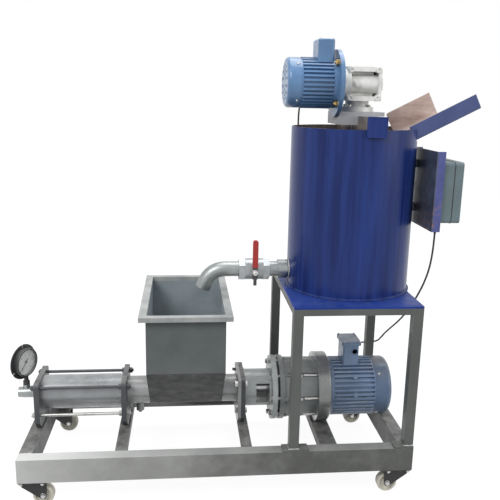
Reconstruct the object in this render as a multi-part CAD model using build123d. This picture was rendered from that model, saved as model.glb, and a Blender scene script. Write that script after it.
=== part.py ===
from build123d import *
import math
import os

# Progressive cavity pump on a wheeled frame, with a stirred feed tank above its hopper.
# Millimetres, +Z up, X along the pump from its outlet (-X) to its motor (+X).
# Everything is laid out from the middle of the base frame at floor level. The last step
# moves the whole machine so that the origin is the centre of its bounding box's bottom.

# ---------------- driving dimensions ----------------
GAP = 0.3               # clearance between curved faces that only sit beside each other
RUNNING = 0.05          # radial clearance of a shaft in its bearing

# base frame: two channel rails joined by cross-members, on four swivel casters
BASE_LENGTH = 1200.0
BASE_WIDTH = 516.0
RAIL_TOP = 160.0
RAIL_HEIGHT = 75.0
RAIL_FLANGE = 40.0
RAIL_WALL = 6.0
CROSSBAR_WIDTH = 34.0
CROSSBAR_DEPTH = 30.0
CROSSBAR_WALL = 4.0
DRIVE_BAR_WIDTH = 54.0

CASTER_INSET_X = 40.0
CASTER_INSET_Y = 33.0
CASTER_WHEEL_R = 31.5
CASTER_WHEEL_WIDTH = 23.0
CASTER_TRAIL = 30.0
CASTER_PLATE = (76.0, 62.0, 4.0)
CASTER_RACE_R = 24.0
CASTER_AXLE_R = 4.0
CASTER_PIN_R = 6.0
CASTER_FORK_WALL = 3.0
CASTER_SIDE_GAP = 1.0
CASTER_CHEEK_OUT = 32.0   # the cheek's outer corner from the king pin
CASTER_CHEEK_IN = 12.0    # its upright edge beyond the axle

# pump train, all on one horizontal axis
PUMP_Z = 258.0
TRAIN_START = -580.0    # outlet face of the first plate
PLATE_THICK = 16.0
PLATE_HALF_WIDTH = 83.0
PLATE_RISE = 60.0       # from the pump axis to the plate's top
PLATE_CORNER = 14.0
PLATE_FOOT_CORNER = 26.0
STATOR_LENGTH = 256.0
STATOR_TUBE_R = 54.0
STATOR_TUBE_WALL = 5.0
TIE_ROD_R = 5.0
TIE_ROD_Y = 65.0
TIE_ROD_RISE = 41.0      # the upper rods above the pump axis
TIE_ROD_FALL = 52.0      # the lower rods below it
NUT_FLATS = 17.0
NUT_HEIGHT = 9.0
ROD_END = 4.0           # thread that shows past a nut

ECCENTRICITY = 7.0
ROTOR_R = 18.0
ROTOR_PITCH = 100.0
ROTOR_CLEARANCE = 0.3
ROTOR_HEAD_R = 18.0
ROTOR_HEAD_LENGTH = 26.0
ROD_R = 8.5
ROD_BALL_R = 13.0
ROD_LENGTH = 122.0

SUCTION_R = 45.0
SUCTION_WALL = 4.0
SUCTION_NECK = 72.0     # from the stator plate to the hopper
HOPPER_LENGTH = 236.0
REAR_NECK = 50.0        # from the hopper to the flange of the bearing bracket
SUCTION_FLANGE = 10.0
HOPPER_HALF_WIDTH = 214.0
HOPPER_TOP = 586.0
HOPPER_KNEE = 404.0     # height where the side walls start to slope in
HOPPER_WALL = 3.0
HOPPER_RIM = 20.0
HOPPER_RIM_THICK = 14.0
DRAIN_R = 12.0
DRAIN_OUT = 44.0

SHAFT_R = 17.5
AUGER_R = 38.0
AUGER_PITCH = 67.0
AUGER_TURNS = 3
AUGER_THICK = 7.0

BRACKET_PLATE = 14.0
LANTERN_R = 61.0
LANTERN_WALL = 6.0
LANTERN_LENGTH = 88.0
LANTERN_FLANGE_R = 106.0
LANTERN_FLANGE = 16.0
WINDOW_LENGTH = 44.0
BEARING_R = 36.0
BEARING_WIDTH = 11.0
SEAL_R = 34.0
SEAL_LENGTH = 14.0

SPIGOT_R = 74.0
SPIGOT_LENGTH = 8.0
REDUCER_FLANGE_R = 106.0
REDUCER_FLANGE = 16.0
REDUCER_R = 99.0
REDUCER_LENGTH = 109.0
REDUCER_BOLTS = 8
REDUCER_BOLT_R = 5.0
HOLLOW_SHAFT_DEPTH = 40.0
ADAPTER_R = 116.0
ADAPTER_LENGTH = 42.0

# pump motor, hung on the adapter ring
MOTOR_R = 98.0
MOTOR_LENGTH = 155.0
MOTOR_COVER_R = 97.0
MOTOR_COVER_LENGTH = 53.0
MOTOR_CORE_R = 60.0
MOTOR_SHAFT_R = 14.0
MOTOR_FINS = 40
MOTOR_FIN_WIDTH = 6.0
MOTOR_LUG_R = 7.0
MOTOR_LUG_RISES = (60.0, 5.0)   # the bosses' heights above the pump's axis

# stand for the tank
STAND_LENGTH = 390.0
STAND_WIDTH = 502.0
STAND_TOP = 612.0
LEG_SIZE = 30.0
LEG_WALL = 2.5
FOOT_LENGTH = 60.0
FOOT_OUT = 20.0          # the left feet also reach outwards past their legs
FOOT_THICK = 5.0
TOP_RAIL_HEIGHT = 20.0
TABLE_THICK = 6.0

# tank with its drive
TANK_X = 422.0
TANK_R = 195.0
TANK_WALL = 4.0
TANK_HEIGHT = 508.0
TANK_WELD = 6.0
BRIDGE_SIZE = 56.0
BRIDGE_WALL = 3.0
BRIDGE_X = 438.0
BRIDGE_RISE = 36.0      # how far the bridge bar stands above the tank's rim
BRIDGE_OVERHANG = 8.0
SADDLE_THICK = 12.0
SADDLE_LIP = 26.0
SADDLE_LIP_WALL = 6.0

MIXER_SHAFT_X = 426.0
MIXER_SHAFT_R = 12.5
GEARBOX_HALF = 52.0
GEARBOX_ADAPTER = 22.0   # round neck between the gearbox and the motor's flange
GEARBOX_ADAPTER_R = 44.0
GEARBOX_FLANGE_R = 51.0
GEARBOX_FLANGE = 14.0
GEARBOX_NECK = 18.0
GEARBOX_HEIGHT = 99.0
GEARBOX_PAD = 14.0
WORM_CENTRES = 50.0
WORM_R = 11.0
WHEEL_WIDTH = 26.0
PADDLE_R = 150.0
PADDLE_LEVELS = 3
PADDLE_WIDTH = 44.0
PADDLE_THICK = 5.0
PADDLE_PITCH_ANGLE = 40.0
PADDLE_FLOOR_GAP = 40.0
PADDLE_SPACING = 150.0

MIXER_MOTOR_R = 74.0
MIXER_MOTOR_LENGTH = 122.0
MIXER_COVER_R = 73.0
MIXER_COVER_LENGTH = 39.0
MIXER_CORE_R = 46.0
MIXER_MOTOR_SHAFT_R = 9.5
MIXER_FINS = 36
MIXER_FIN_WIDTH = 5.0
MIXER_FLANGE_R = 98.0
MIXER_FLANGE = 12.0

# loading chute
CHUTE_SLOPE = 27.0
CHUTE_HALF_WIDTH = 96.0
CHUTE_NEAR_LENGTH = 222.0
CHUTE_FAR_LENGTH = 155.0
CHUTE_NEAR_HEIGHT = 46.0
CHUTE_FAR_HEIGHT = 84.0
CHUTE_WALL = 3.0
CHUTE_FOLD_R = 18.0     # inside radius of the fold between floor and far side
CHUTE_DROP = 38.0       # depth of the notch in the tank's rim that the floor passes through

# tank outlet: weld socket, nipple, ball valve and bent spout
OUTLET_Z = 670.0
PIPE_R = 24.15
PIPE_BORE = 20.9
SOCKET_R = 30.0
SOCKET_LENGTH = 30.0
NIPPLE_LENGTH = 62.0
VALVE_LENGTH = 98.0
VALVE_END = 20.0
VALVE_FLATS = 62.0
VALVE_BODY_R = 34.0
BALL_R = 26.0
BALL_BORE = 19.0
STEM_R = 7.0
VALVE_NECK_R = 13.0
VALVE_NECK = 45.0
LEVER_THICK = 5.0
LEVER_WIDTH = 17.0
LEVER_UP = 104.0
LEVER_DOWN = 42.0
GRIP_LENGTH = 88.0
GRIP_WALL = 3.0
SPOUT_RUN = 46.0
SPOUT_BEND_R = 65.0
SPOUT_BEND = 66.0
SPOUT_TAIL = 25.0

# outlet tee and pressure gauge
TEE_R = 18.0
TEE_LENGTH = 50.0
TEE_NOSE_R = 30.0
TEE_NOSE = 18.0
TEE_SEAT = 6.0           # width of the ring on which the tee's nose meets the plate
TEE_BOSS_R = 11.0
OUTLET_R = 16.85
OUTLET_BORE = 13.5
OUTLET_LENGTH = 14.0
GAUGE_OFFSET = 39.0     # from the first plate to the gauge's stem
GAUGE_HEIGHT = 104.0    # dial centre above the pump axis
GAUGE_TURN = -28.0      # the dial faces +X, turned this much towards -Y
GAUGE_R = 45.0
GAUGE_DEPTH = 20.0
GAUGE_FLANGE_R = 57.0
GAUGE_FLANGE = 3.0
GAUGE_WALL = 3.0
GAUGE_STEM_R = 7.0
GLASS_THICK = 2.0
POINTER_THICK = 1.0

# control box on the tank's +X side
BRACKET_OFFSET = 15.0
BRACKET_WIDTH = 200.0
BRACKET_CENTRE_Y = -72.0
BRACKET_LOW = 826.0
BRACKET_HEIGHT = 240.0
BRACKET_LIP = 26.0
BRACKET_WALL = 3.0
ENCLOSURE_WIDTH = 176.0
ENCLOSURE_HEIGHT = 184.0
ENCLOSURE_LOW = 850.0
ENCLOSURE_DEPTH = 60.0
COVER_DEPTH = 27.0
ENCLOSURE_WALL = 3.0
BUTTON_R = 11.0
BUTTON_TRAVEL = 4.0
BUTTON_PROUD = 7.0
BUTTON_SPACING = 40.0

LEAD_R = 3.0
GLAND_R = 9.0
GLAND_LENGTH = 18.0

# ---------------- places that follow from the sizes ----------------
BASE_END = BASE_LENGTH / 2
BASE_HALF = BASE_WIDTH / 2
RAIL_BOTTOM = RAIL_TOP - RAIL_HEIGHT
STATOR_START = TRAIN_START + PLATE_THICK
STATOR_END = STATOR_START + STATOR_LENGTH
SUCTION_START = STATOR_END + PLATE_THICK
HOPPER_START = SUCTION_START + SUCTION_NECK
HOPPER_END = HOPPER_START + HOPPER_LENGTH
SUCTION_END = HOPPER_END + REAR_NECK
BRACKET_START = SUCTION_END + SUCTION_FLANGE
LANTERN_START = BRACKET_START + BRACKET_PLATE
LANTERN_END = LANTERN_START + LANTERN_LENGTH
SPIGOT_START = LANTERN_END + LANTERN_FLANGE
REDUCER_START = SPIGOT_START + SPIGOT_LENGTH
REDUCER_END = REDUCER_START + REDUCER_FLANGE + REDUCER_LENGTH
MOTOR_START = REDUCER_END + ADAPTER_LENGTH
MOTOR_LUG_X = MOTOR_START + MOTOR_LENGTH * 0.54
ROTOR_JOINT_X = SUCTION_START + 10.0
DRIVE_JOINT_X = ROTOR_JOINT_X + ROD_LENGTH
STAND_X0 = BASE_END - STAND_LENGTH
STAND_HALF = STAND_WIDTH / 2
TABLE_TOP = STAND_TOP + TABLE_THICK
TANK_TOP = TABLE_TOP + TANK_HEIGHT
BRIDGE_TOP = TANK_TOP + BRIDGE_RISE
SADDLE_TOP = BRIDGE_TOP + SADDLE_THICK
GEARBOX_LOW = SADDLE_TOP + GEARBOX_FLANGE + GEARBOX_NECK
WORM_Z = GEARBOX_LOW + GEARBOX_HEIGHT / 2
WORM_Y = -WORM_CENTRES
MIXER_FACE_X = MIXER_SHAFT_X - GEARBOX_HALF - GEARBOX_ADAPTER
WHEEL_R = WORM_CENTRES - WORM_R - GAP
OUTLET_WALL_X = TANK_X - TANK_R
VALVE_END_X = OUTLET_WALL_X - NIPPLE_LENGTH
VALVE_START_X = VALVE_END_X - VALVE_LENGTH
VALVE_X = (VALVE_START_X + VALVE_END_X) / 2
CASTER_X = BASE_END - CASTER_INSET_X
CASTER_Y = BASE_HALF - CASTER_INSET_Y
GAUGE_X = TRAIN_START - GAUGE_OFFSET
GAUGE_Z = PUMP_Z + GAUGE_HEIGHT
BRACKET_X = TANK_X + TANK_R + BRACKET_OFFSET
ENCLOSURE_X = BRACKET_X + BRACKET_WALL
COVER_X = ENCLOSURE_X + ENCLOSURE_DEPTH
ENCLOSURE_FRONT_Y = BRACKET_CENTRE_Y - ENCLOSURE_WIDTH / 2
ENCLOSURE_BACK_Y = BRACKET_CENTRE_Y + ENCLOSURE_WIDTH / 2

FOOTED = (Align.CENTER, Align.CENTER, Align.MIN)
CORNERS = ((-1, -1), (-1, 1), (1, -1), (1, 1))
TIE_ROD_PLACES = [(side * TIE_ROD_Y, z) for side in (-1, 1)
                  for z in (PUMP_Z - TIE_ROD_FALL, PUMP_Z + TIE_ROD_RISE)]
CASTERS = {
    "front_left": (-1, -1),
    "front_right": (1, -1),
    "rear_left": (-1, 1),
    "rear_right": (1, 1),
}


# ---------------- shared shapes ----------------
def block(x0, x1, y0, y1, z0, z1):
    middle = Pos((x0 + x1) / 2, (y0 + y1) / 2, (z0 + z1) / 2)
    return middle * Box(x1 - x0, y1 - y0, z1 - z0)


def rod_x(x0, x1, radius, y=0.0, z=PUMP_Z):
    return Pos(x0, y, z) * Rot(0, 90, 0) * Cylinder(radius, x1 - x0, align=FOOTED)


def rod_y(y0, y1, radius, x, z):
    return Pos(x, y0, z) * Rot(-90, 0, 0) * Cylinder(radius, y1 - y0, align=FOOTED)


def rod_z(z0, z1, radius, x, y=0.0):
    return Pos(x, y, z0) * Cylinder(radius, z1 - z0, align=FOOTED)


def hexagon_x(x0, x1, flats, y=0.0, z=PUMP_Z):
    outline = RegularPolygon(flats / 2, 6, major_radius=False)
    return Pos(x0, y, z) * Rot(0, 90, 0) * extrude(outline, x1 - x0)


def ball(radius, x, y, z):
    return Pos(x, y, z) * Sphere(radius)


def group(*shapes):
    """Keep separate pieces together in one node."""
    return Compound(children=[solid for shape in shapes for solid in shape.solids()])


def on_ring(count, radius, turn=0.0):
    """Places around the pump axis as (y, z) offsets."""
    angles = [math.radians(turn + 360 * i / count) for i in range(count)]
    return [(radius * math.cos(a), radius * math.sin(a)) for a in angles]


def across_x(x):
    """The plane through the pump axis at x, seen along +X."""
    return Plane(origin=(x, 0, PUMP_Z), x_dir=(0, 1, 0), z_dir=(1, 0, 0))


def twisted(outline, x, centre_z, length, turn):
    """A section on the pump train, extruded along +X while it turns."""
    face = (across_x(x) * outline).face()
    return Solid.extrude_linear_with_rotation(face, (x, 0, centre_z), (length, 0, 0), turn)


# ---------------- base frame and casters ----------------
def base_rails():
    web = block(-BASE_END, BASE_END, -BASE_HALF, -BASE_HALF + RAIL_WALL, RAIL_BOTTOM, RAIL_TOP)
    inner = -BASE_HALF + RAIL_FLANGE
    top = block(-BASE_END, BASE_END, -BASE_HALF, inner, RAIL_TOP - RAIL_WALL, RAIL_TOP)
    low = block(-BASE_END, BASE_END, -BASE_HALF, inner, RAIL_BOTTOM, RAIL_BOTTOM + RAIL_WALL)
    front = web + top + low
    return group(front, mirror(front, about=Plane.XZ))


def end_channel(side):
    """Channel across one end, its web on the inner side."""
    reach = BASE_HALF - RAIL_FLANGE
    inner = BASE_END - RAIL_FLANGE
    web = block(inner, inner + RAIL_WALL, -reach, reach, RAIL_BOTTOM, RAIL_TOP)
    top = block(inner, BASE_END, -reach, reach, RAIL_TOP - RAIL_WALL, RAIL_TOP)
    low = block(inner, BASE_END, -reach, reach, RAIL_BOTTOM, RAIL_BOTTOM + RAIL_WALL)
    channel = web + top + low
    return channel if side > 0 else mirror(channel, about=Plane.YZ)


def plate_crossbar(x):
    """Angle section that carries one plate of the pump; the first plate is on the end channel."""
    reach = BASE_HALF - RAIL_FLANGE
    x0, x1 = x - CROSSBAR_WIDTH / 2, x + CROSSBAR_WIDTH / 2
    top = block(x0, x1, -reach, reach, RAIL_TOP - CROSSBAR_WALL, RAIL_TOP)
    leg = block(x1 - CROSSBAR_WALL, x1, -reach, reach, RAIL_TOP - CROSSBAR_DEPTH, RAIL_TOP)
    return top + leg


def drive_crossbar():
    """Inverted channel between the rails' webs, let down so that the adapter ring clears it."""
    reach = BASE_HALF - RAIL_WALL
    middle = REDUCER_END + ADAPTER_LENGTH / 2
    x0, x1 = middle - DRIVE_BAR_WIDTH / 2, middle + DRIVE_BAR_WIDTH / 2
    top = PUMP_Z - ADAPTER_R - GAP
    bar = block(x0, x1, -reach, reach, top - CROSSBAR_DEPTH, top)
    return bar - block(x0 + CROSSBAR_WALL, x1 - CROSSBAR_WALL, -reach, reach,
                       top - CROSSBAR_DEPTH, top - CROSSBAR_WALL)


def base_cross_members():
    plates = [STATOR_END + PLATE_THICK / 2, BRACKET_START + BRACKET_PLATE / 2]
    bars = [plate_crossbar(x) for x in plates]
    return group(end_channel(-1), end_channel(1), drive_crossbar(), *bars)


def caster_top_plate(x, y):
    long, wide, thick = CASTER_PLATE
    plate = Pos(x, y, RAIL_BOTTOM - thick) * Box(long, wide, thick, align=FOOTED)
    race = rod_z(RAIL_BOTTOM - 2 * thick - 3, RAIL_BOTTOM - thick, CASTER_RACE_R, x, y)
    pin = rod_z(RAIL_BOTTOM - 2 * thick - 4, RAIL_BOTTOM, CASTER_PIN_R + RUNNING, x, y)
    return plate + race - pin


def caster_top_plates():
    return group(*[caster_top_plate(sx * CASTER_X, sy * CASTER_Y) for sx, sy in CORNERS])


def caster_fork(sx, sy):
    """Swivelling fork with its king pin and axle, trailing towards the machine's middle."""
    x, y = sx * CASTER_X, sy * CASTER_Y
    axle_x = x - sx * CASTER_TRAIL
    top = RAIL_BOTTOM - 2 * CASTER_PLATE[2] - 3 - GAP
    half = CASTER_WHEEL_WIDTH / 2 + CASTER_SIDE_GAP
    crown = rod_z(top - CASTER_FORK_WALL - 1, top, CASTER_RACE_R - 2, x, y)
    pin = rod_z(top - 2, RAIL_BOTTOM - 1, CASTER_PIN_R, x, y)
    front, tip = x + sx * (CASTER_RACE_R - 3), x + sx * CASTER_CHEEK_OUT
    back = axle_x - sx * CASTER_CHEEK_IN
    corners = [(tip, top), (back, top), (back + sx * 2, CASTER_WHEEL_R - 4),
               (axle_x - sx * 5, CASTER_WHEEL_R - 11), (axle_x + sx * 5, CASTER_WHEEL_R - 11),
               (tip, top - 12)]
    outline = Plane.XZ * make_face(Polyline(*corners, close=True))
    fork = crown + pin
    for side in (-1, 1):
        start = y + side * (half + CASTER_FORK_WALL / 2) + CASTER_FORK_WALL / 2
        fork += Pos(0, start, 0) * extrude(outline, CASTER_FORK_WALL)
    web_x0, web_x1 = sorted((front, front - sx * 8))
    fork += block(web_x0, web_x1, y - half, y + half, top - CASTER_FORK_WALL - 1, top - 1)
    reach = half + CASTER_FORK_WALL + 3
    return fork + rod_y(y - reach, y + reach, CASTER_AXLE_R, axle_x, CASTER_WHEEL_R)


def caster_wheel(sx, sy):
    y = sy * CASTER_Y
    axle_x = sx * (CASTER_X - CASTER_TRAIL)
    half = CASTER_WHEEL_WIDTH / 2
    tread = rod_y(y - half, y + half, CASTER_WHEEL_R, axle_x, CASTER_WHEEL_R)
    tread = fillet(tread.edges().filter_by(GeomType.CIRCLE), 3.0)
    for side in (-1, 1):
        y0, y1 = sorted((y + side * half, y + side * (half - 5)))
        dish = (rod_y(y0, y1, CASTER_WHEEL_R - 8, axle_x, CASTER_WHEEL_R)
                - rod_y(y0, y1, CASTER_AXLE_R + 6, axle_x, CASTER_WHEEL_R))
        tread -= dish
    return tread - rod_y(y - half, y + half, CASTER_AXLE_R + RUNNING, axle_x, CASTER_WHEEL_R)


# ---------------- pump: plates, stator, rotor, rod and auger ----------------
def train_plate(x, thick, bore):
    """Square plate that stands on its cross-member and carries the pump."""
    height = PUMP_Z + PLATE_RISE - RAIL_TOP
    plate = block(x, x + thick, -PLATE_HALF_WIDTH, PLATE_HALF_WIDTH, RAIL_TOP, RAIL_TOP + height)
    plate = fillet(plate.edges().filter_by(Axis.X).group_by(Axis.Z)[-1], PLATE_CORNER)
    plate = chamfer(plate.edges().filter_by(Axis.X).group_by(Axis.Z)[0], PLATE_FOOT_CORNER)
    plate -= rod_x(x, x + thick, bore)
    for y, z in TIE_ROD_PLACES:
        plate -= rod_x(x, x + thick, TIE_ROD_R + GAP, y, z)
    return plate


def pump_plates():
    """The plates at the stator's two ends and at the bearing bracket."""
    outlet_bore = TEE_NOSE_R - TEE_SEAT
    return group(train_plate(TRAIN_START, PLATE_THICK, outlet_bore),
                 train_plate(STATOR_END, PLATE_THICK, SUCTION_R - SUCTION_WALL),
                 train_plate(BRACKET_START, BRACKET_PLATE, SUCTION_R - SUCTION_WALL))


def stator_tube():
    tube = rod_x(STATOR_START, STATOR_END, STATOR_TUBE_R)
    return tube - rod_x(STATOR_START, STATOR_END, STATOR_TUBE_R - STATOR_TUBE_WALL)


def stator_rubber():
    """Elastomer with the two-start helical bore, of twice the rotor's pitch."""
    body = rod_x(STATOR_START, STATOR_END, STATOR_TUBE_R - STATOR_TUBE_WALL - GAP)
    slot = Rot(0, 0, 90) * SlotCenterToCenter(4 * ECCENTRICITY, 2 * (ROTOR_R + ROTOR_CLEARANCE))
    turn = 180 * STATOR_LENGTH / ROTOR_PITCH
    return body - twisted(slot, STATOR_START, PUMP_Z, STATOR_LENGTH, turn)


def rotor():
    """Single-start helical rotor; its own axis runs one eccentricity above the stator's."""
    section = Pos(0, 2 * ECCENTRICITY) * Circle(ROTOR_R)
    axis_z = PUMP_Z + ECCENTRICITY
    turn = 360 * STATOR_LENGTH / ROTOR_PITCH
    screw = twisted(section, STATOR_START, axis_z, STATOR_LENGTH, turn)
    head_end = ROTOR_JOINT_X + ROTOR_HEAD_LENGTH / 2
    neck_r = ROTOR_R - ECCENTRICITY - 1
    neck = rod_x(STATOR_END - 2, head_end - ROTOR_HEAD_LENGTH, neck_r, z=axis_z)
    head = rod_x(head_end - ROTOR_HEAD_LENGTH, head_end, ROTOR_HEAD_R, z=axis_z)
    head = head - ball(ROD_BALL_R + GAP, ROTOR_JOINT_X, 0, axis_z)
    return screw + neck + head - rod_x(ROTOR_JOINT_X, head_end, ROD_BALL_R + GAP, z=axis_z)


def coupling_rod():
    """Rod with a ball at each end; it leans from the drive axis to the rotor's axis."""
    start = Vector(ROTOR_JOINT_X, 0, PUMP_Z + ECCENTRICITY)
    end = Vector(DRIVE_JOINT_X, 0, PUMP_Z)
    lean = Plane(origin=start, z_dir=end - start)
    bar = lean * Cylinder(ROD_R, (end - start).length, align=FOOTED)
    return bar + ball(ROD_BALL_R, *start) + ball(ROD_BALL_R, *end)


def auger_shaft():
    """Drive shaft with the feed auger that runs in the hopper's trough."""
    head_start = DRIVE_JOINT_X - ROTOR_HEAD_LENGTH / 2
    shaft_end = REDUCER_START + HOLLOW_SHAFT_DEPTH - 1
    shaft = rod_x(head_start, shaft_end, SHAFT_R)
    shaft -= ball(ROD_BALL_R + GAP, DRIVE_JOINT_X, 0, PUMP_Z)
    shaft -= rod_x(head_start, DRIVE_JOINT_X, ROD_BALL_R + GAP)
    blade = Pos(AUGER_R / 2, 0) * Rectangle(AUGER_R, AUGER_THICK)
    start = DRIVE_JOINT_X + ROTOR_HEAD_LENGTH / 2 + 8
    flight = twisted(blade, start, PUMP_Z, AUGER_PITCH * AUGER_TURNS, -360 * AUGER_TURNS)
    flight -= rod_x(start - 1, start + AUGER_PITCH * AUGER_TURNS + 1, SHAFT_R - 1)
    return shaft + flight


def hexagon_nut(x, y, z):
    nut = hexagon_x(x, x + NUT_HEIGHT, NUT_FLATS, y, z)
    return nut - rod_x(x, x + NUT_HEIGHT, TIE_ROD_R + RUNNING, y, z)


def tie_rods():
    pieces = []
    reach = NUT_HEIGHT + ROD_END
    for y, z in TIE_ROD_PLACES:
        pieces.append(rod_x(TRAIN_START - reach, SUCTION_START + reach, TIE_ROD_R, y, z))
        for x in (TRAIN_START - NUT_HEIGHT, STATOR_END - NUT_HEIGHT, SUCTION_START):
            pieces.append(hexagon_nut(x, y, z))
    return group(*pieces)


# ---------------- suction housing ----------------
def suction_tube():
    """The two necks either side of the hopper; the front one has a plugged drain boss."""
    bore = SUCTION_R - SUCTION_WALL
    front = rod_x(SUCTION_START, HOPPER_START, SUCTION_R)
    drain_x = SUCTION_START + SUCTION_NECK / 2 + 2
    boss_low = PUMP_Z - SUCTION_R - DRAIN_OUT / 2
    front += rod_z(boss_low, PUMP_Z - bore - 1, DRAIN_R, drain_x)
    front -= rod_x(SUCTION_START, HOPPER_START, bore)
    front -= rod_z(boss_low, PUMP_Z, DRAIN_R - 4, drain_x)
    rear = rod_x(HOPPER_END, SUCTION_END, SUCTION_R)
    height = PUMP_Z + PLATE_RISE - RAIL_TOP
    flange = block(SUCTION_END, BRACKET_START, -PLATE_HALF_WIDTH, PLATE_HALF_WIDTH,
                   RAIL_TOP, RAIL_TOP + height)
    flange = fillet(flange.edges().filter_by(Axis.X).group_by(Axis.Z)[-1], PLATE_CORNER)
    flange = chamfer(flange.edges().filter_by(Axis.X).group_by(Axis.Z)[0], PLATE_FOOT_CORNER)
    for y, z in TIE_ROD_PLACES:
        flange -= rod_x(SUCTION_END, BRACKET_START, TIE_ROD_R + GAP, y, z)
    rear = rear + flange - rod_x(HOPPER_END, BRACKET_START, bore)
    return group(front, rear, drain_plug())


def drain_plug():
    x = SUCTION_START + SUCTION_NECK / 2 + 2
    seat = PUMP_Z - SUCTION_R - DRAIN_OUT / 2
    head = rod_z(seat - 5, seat, DRAIN_R + 1, x)
    key = Pos(x, 0, seat - 13) * Box(9, 9, 8, align=FOOTED)
    return head + key + rod_z(seat, seat + 14, DRAIN_R - 4 - RUNNING, x)


def hopper_section(inset):
    """Outline across the hopper: upright walls, then slopes that meet the trough's round."""
    half = HOPPER_HALF_WIDTH - inset
    radius = SUCTION_R - inset
    knee = HOPPER_KNEE - PUMP_Z
    top = HOPPER_TOP - PUMP_Z + (10 if inset else 0)
    reach = math.hypot(half, knee)
    touch = math.atan2(knee, half) - math.acos(radius / reach)
    low = (radius * math.cos(touch), radius * math.sin(touch))
    lines = [Line((half, top), (half, knee)), Line((half, knee), low),
             ThreePointArc(low, (0, -radius), (-low[0], low[1])),
             Line((-low[0], low[1]), (-half, knee)), Line((-half, knee), (-half, top)),
             Line((-half, top), (half, top))]
    return make_face(Wire(lines))


def hopper():
    outer = extrude(across_x(HOPPER_START) * hopper_section(0), HOPPER_LENGTH)
    inner = extrude(across_x(HOPPER_START + HOPPER_WALL) * hopper_section(HOPPER_WALL),
                    HOPPER_LENGTH - 2 * HOPPER_WALL)
    x0, x1 = HOPPER_START - HOPPER_RIM, HOPPER_END + HOPPER_RIM
    half = HOPPER_HALF_WIDTH + HOPPER_RIM
    rim = block(x0, x1, -half, half, HOPPER_TOP - HOPPER_RIM_THICK, HOPPER_TOP)
    shell = outer + rim - inner
    return shell - rod_x(HOPPER_START, HOPPER_END, SUCTION_R - SUCTION_WALL)


# ---------------- bearing bracket and drive ----------------
def bearing_bracket():
    """Lantern tube with two side windows, a bearing hub inside and the drive flange."""
    tube = rod_x(LANTERN_START, LANTERN_END, LANTERN_R)
    tube -= rod_x(LANTERN_START, LANTERN_END, LANTERN_R - LANTERN_WALL)
    hub_start = LANTERN_START + SEAL_LENGTH + 2
    hub_end = hub_start + 2 * BEARING_WIDTH
    hub = rod_x(hub_start, hub_end, LANTERN_R - LANTERN_WALL)
    tube += hub - rod_x(hub_start, hub_end, BEARING_R + GAP)
    window_start = LANTERN_END - WINDOW_LENGTH - 6
    half = LANTERN_R * 0.55
    for side in (-1, 1):
        y0, y1 = sorted((side * SHAFT_R, side * (LANTERN_R + 1)))
        tube -= block(window_start, window_start + WINDOW_LENGTH, y0, y1,
                      PUMP_Z - half, PUMP_Z + half)
    flange = rod_x(LANTERN_END, SPIGOT_START, LANTERN_FLANGE_R)
    return tube + flange - rod_x(LANTERN_END, SPIGOT_START, SHAFT_R + 12)


def shaft_bearings():
    start = LANTERN_START + SEAL_LENGTH + 2
    rings = []
    for i in range(2):
        x0 = start + i * BEARING_WIDTH
        ring = rod_x(x0, x0 + BEARING_WIDTH, BEARING_R)
        rings.append(ring - rod_x(x0, x0 + BEARING_WIDTH, SHAFT_R + RUNNING))
    return group(*rings)


def shaft_seal():
    """Gland follower that presses the packing where the shaft leaves the suction housing."""
    seal = rod_x(LANTERN_START, LANTERN_START + SEAL_LENGTH, SEAL_R)
    sleeve = rod_x(SUCTION_END, LANTERN_START, SUCTION_R - SUCTION_WALL - GAP)
    return seal + sleeve - rod_x(SUCTION_END, LANTERN_START + SEAL_LENGTH, SHAFT_R + RUNNING)


def bolt_x(x, y, z, radius, grip, flats):
    """Hexagon bolt whose head stands on the face at x and whose shank runs along -X."""
    head = hexagon_x(x, x + radius * 1.3, flats, y, z)
    return head + rod_x(x - grip, x, radius, y, z)


def flange_bolts():
    bolts = []
    grip = SUCTION_FLANGE + BRACKET_PLATE
    for y, z in TIE_ROD_PLACES:
        bolts.append(bolt_x(LANTERN_START, y, z, TIE_ROD_R, grip + ROD_END, NUT_FLATS))
        bolts.append(hexagon_nut(SUCTION_END - NUT_HEIGHT, y, z)
                     - rod_x(SUCTION_END - NUT_HEIGHT, SUCTION_END, TIE_ROD_R + RUNNING, y, z))
    return group(*bolts)


def reducer_housing():
    """In-line gear reducer: flange, barrel and the long bolts let into its side."""
    body = rod_x(SPIGOT_START, REDUCER_START, SPIGOT_R)
    flange_end = REDUCER_START + REDUCER_FLANGE
    body += rod_x(REDUCER_START, flange_end, REDUCER_FLANGE_R)
    body += rod_x(flange_end, REDUCER_END, REDUCER_R)
    groove = REDUCER_BOLT_R + 1.5
    for y, z in on_ring(REDUCER_BOLTS, REDUCER_R):
        body -= rod_x(flange_end, REDUCER_END, groove, y, PUMP_Z + z)
    for y, z in on_ring(REDUCER_BOLTS, REDUCER_R - 2):
        body += rod_x(flange_end, REDUCER_END, REDUCER_BOLT_R, y, PUMP_Z + z)
        body += hexagon_x(flange_end, flange_end + 9, 3.2 * REDUCER_BOLT_R, y, PUMP_Z + z)
    body -= rod_x(SPIGOT_START, REDUCER_START + HOLLOW_SHAFT_DEPTH, SHAFT_R + RUNNING)
    return body - rod_x(REDUCER_END - 30, REDUCER_END, MOTOR_SHAFT_R + RUNNING)


def adapter_ring():
    ring = rod_x(REDUCER_END, MOTOR_START, ADAPTER_R)
    ring = fillet(ring.edges().filter_by(GeomType.CIRCLE).group_by(Axis.X)[-1], 6.0)
    return ring - rod_x(REDUCER_END, MOTOR_START, MOTOR_SHAFT_R + 20)


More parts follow.
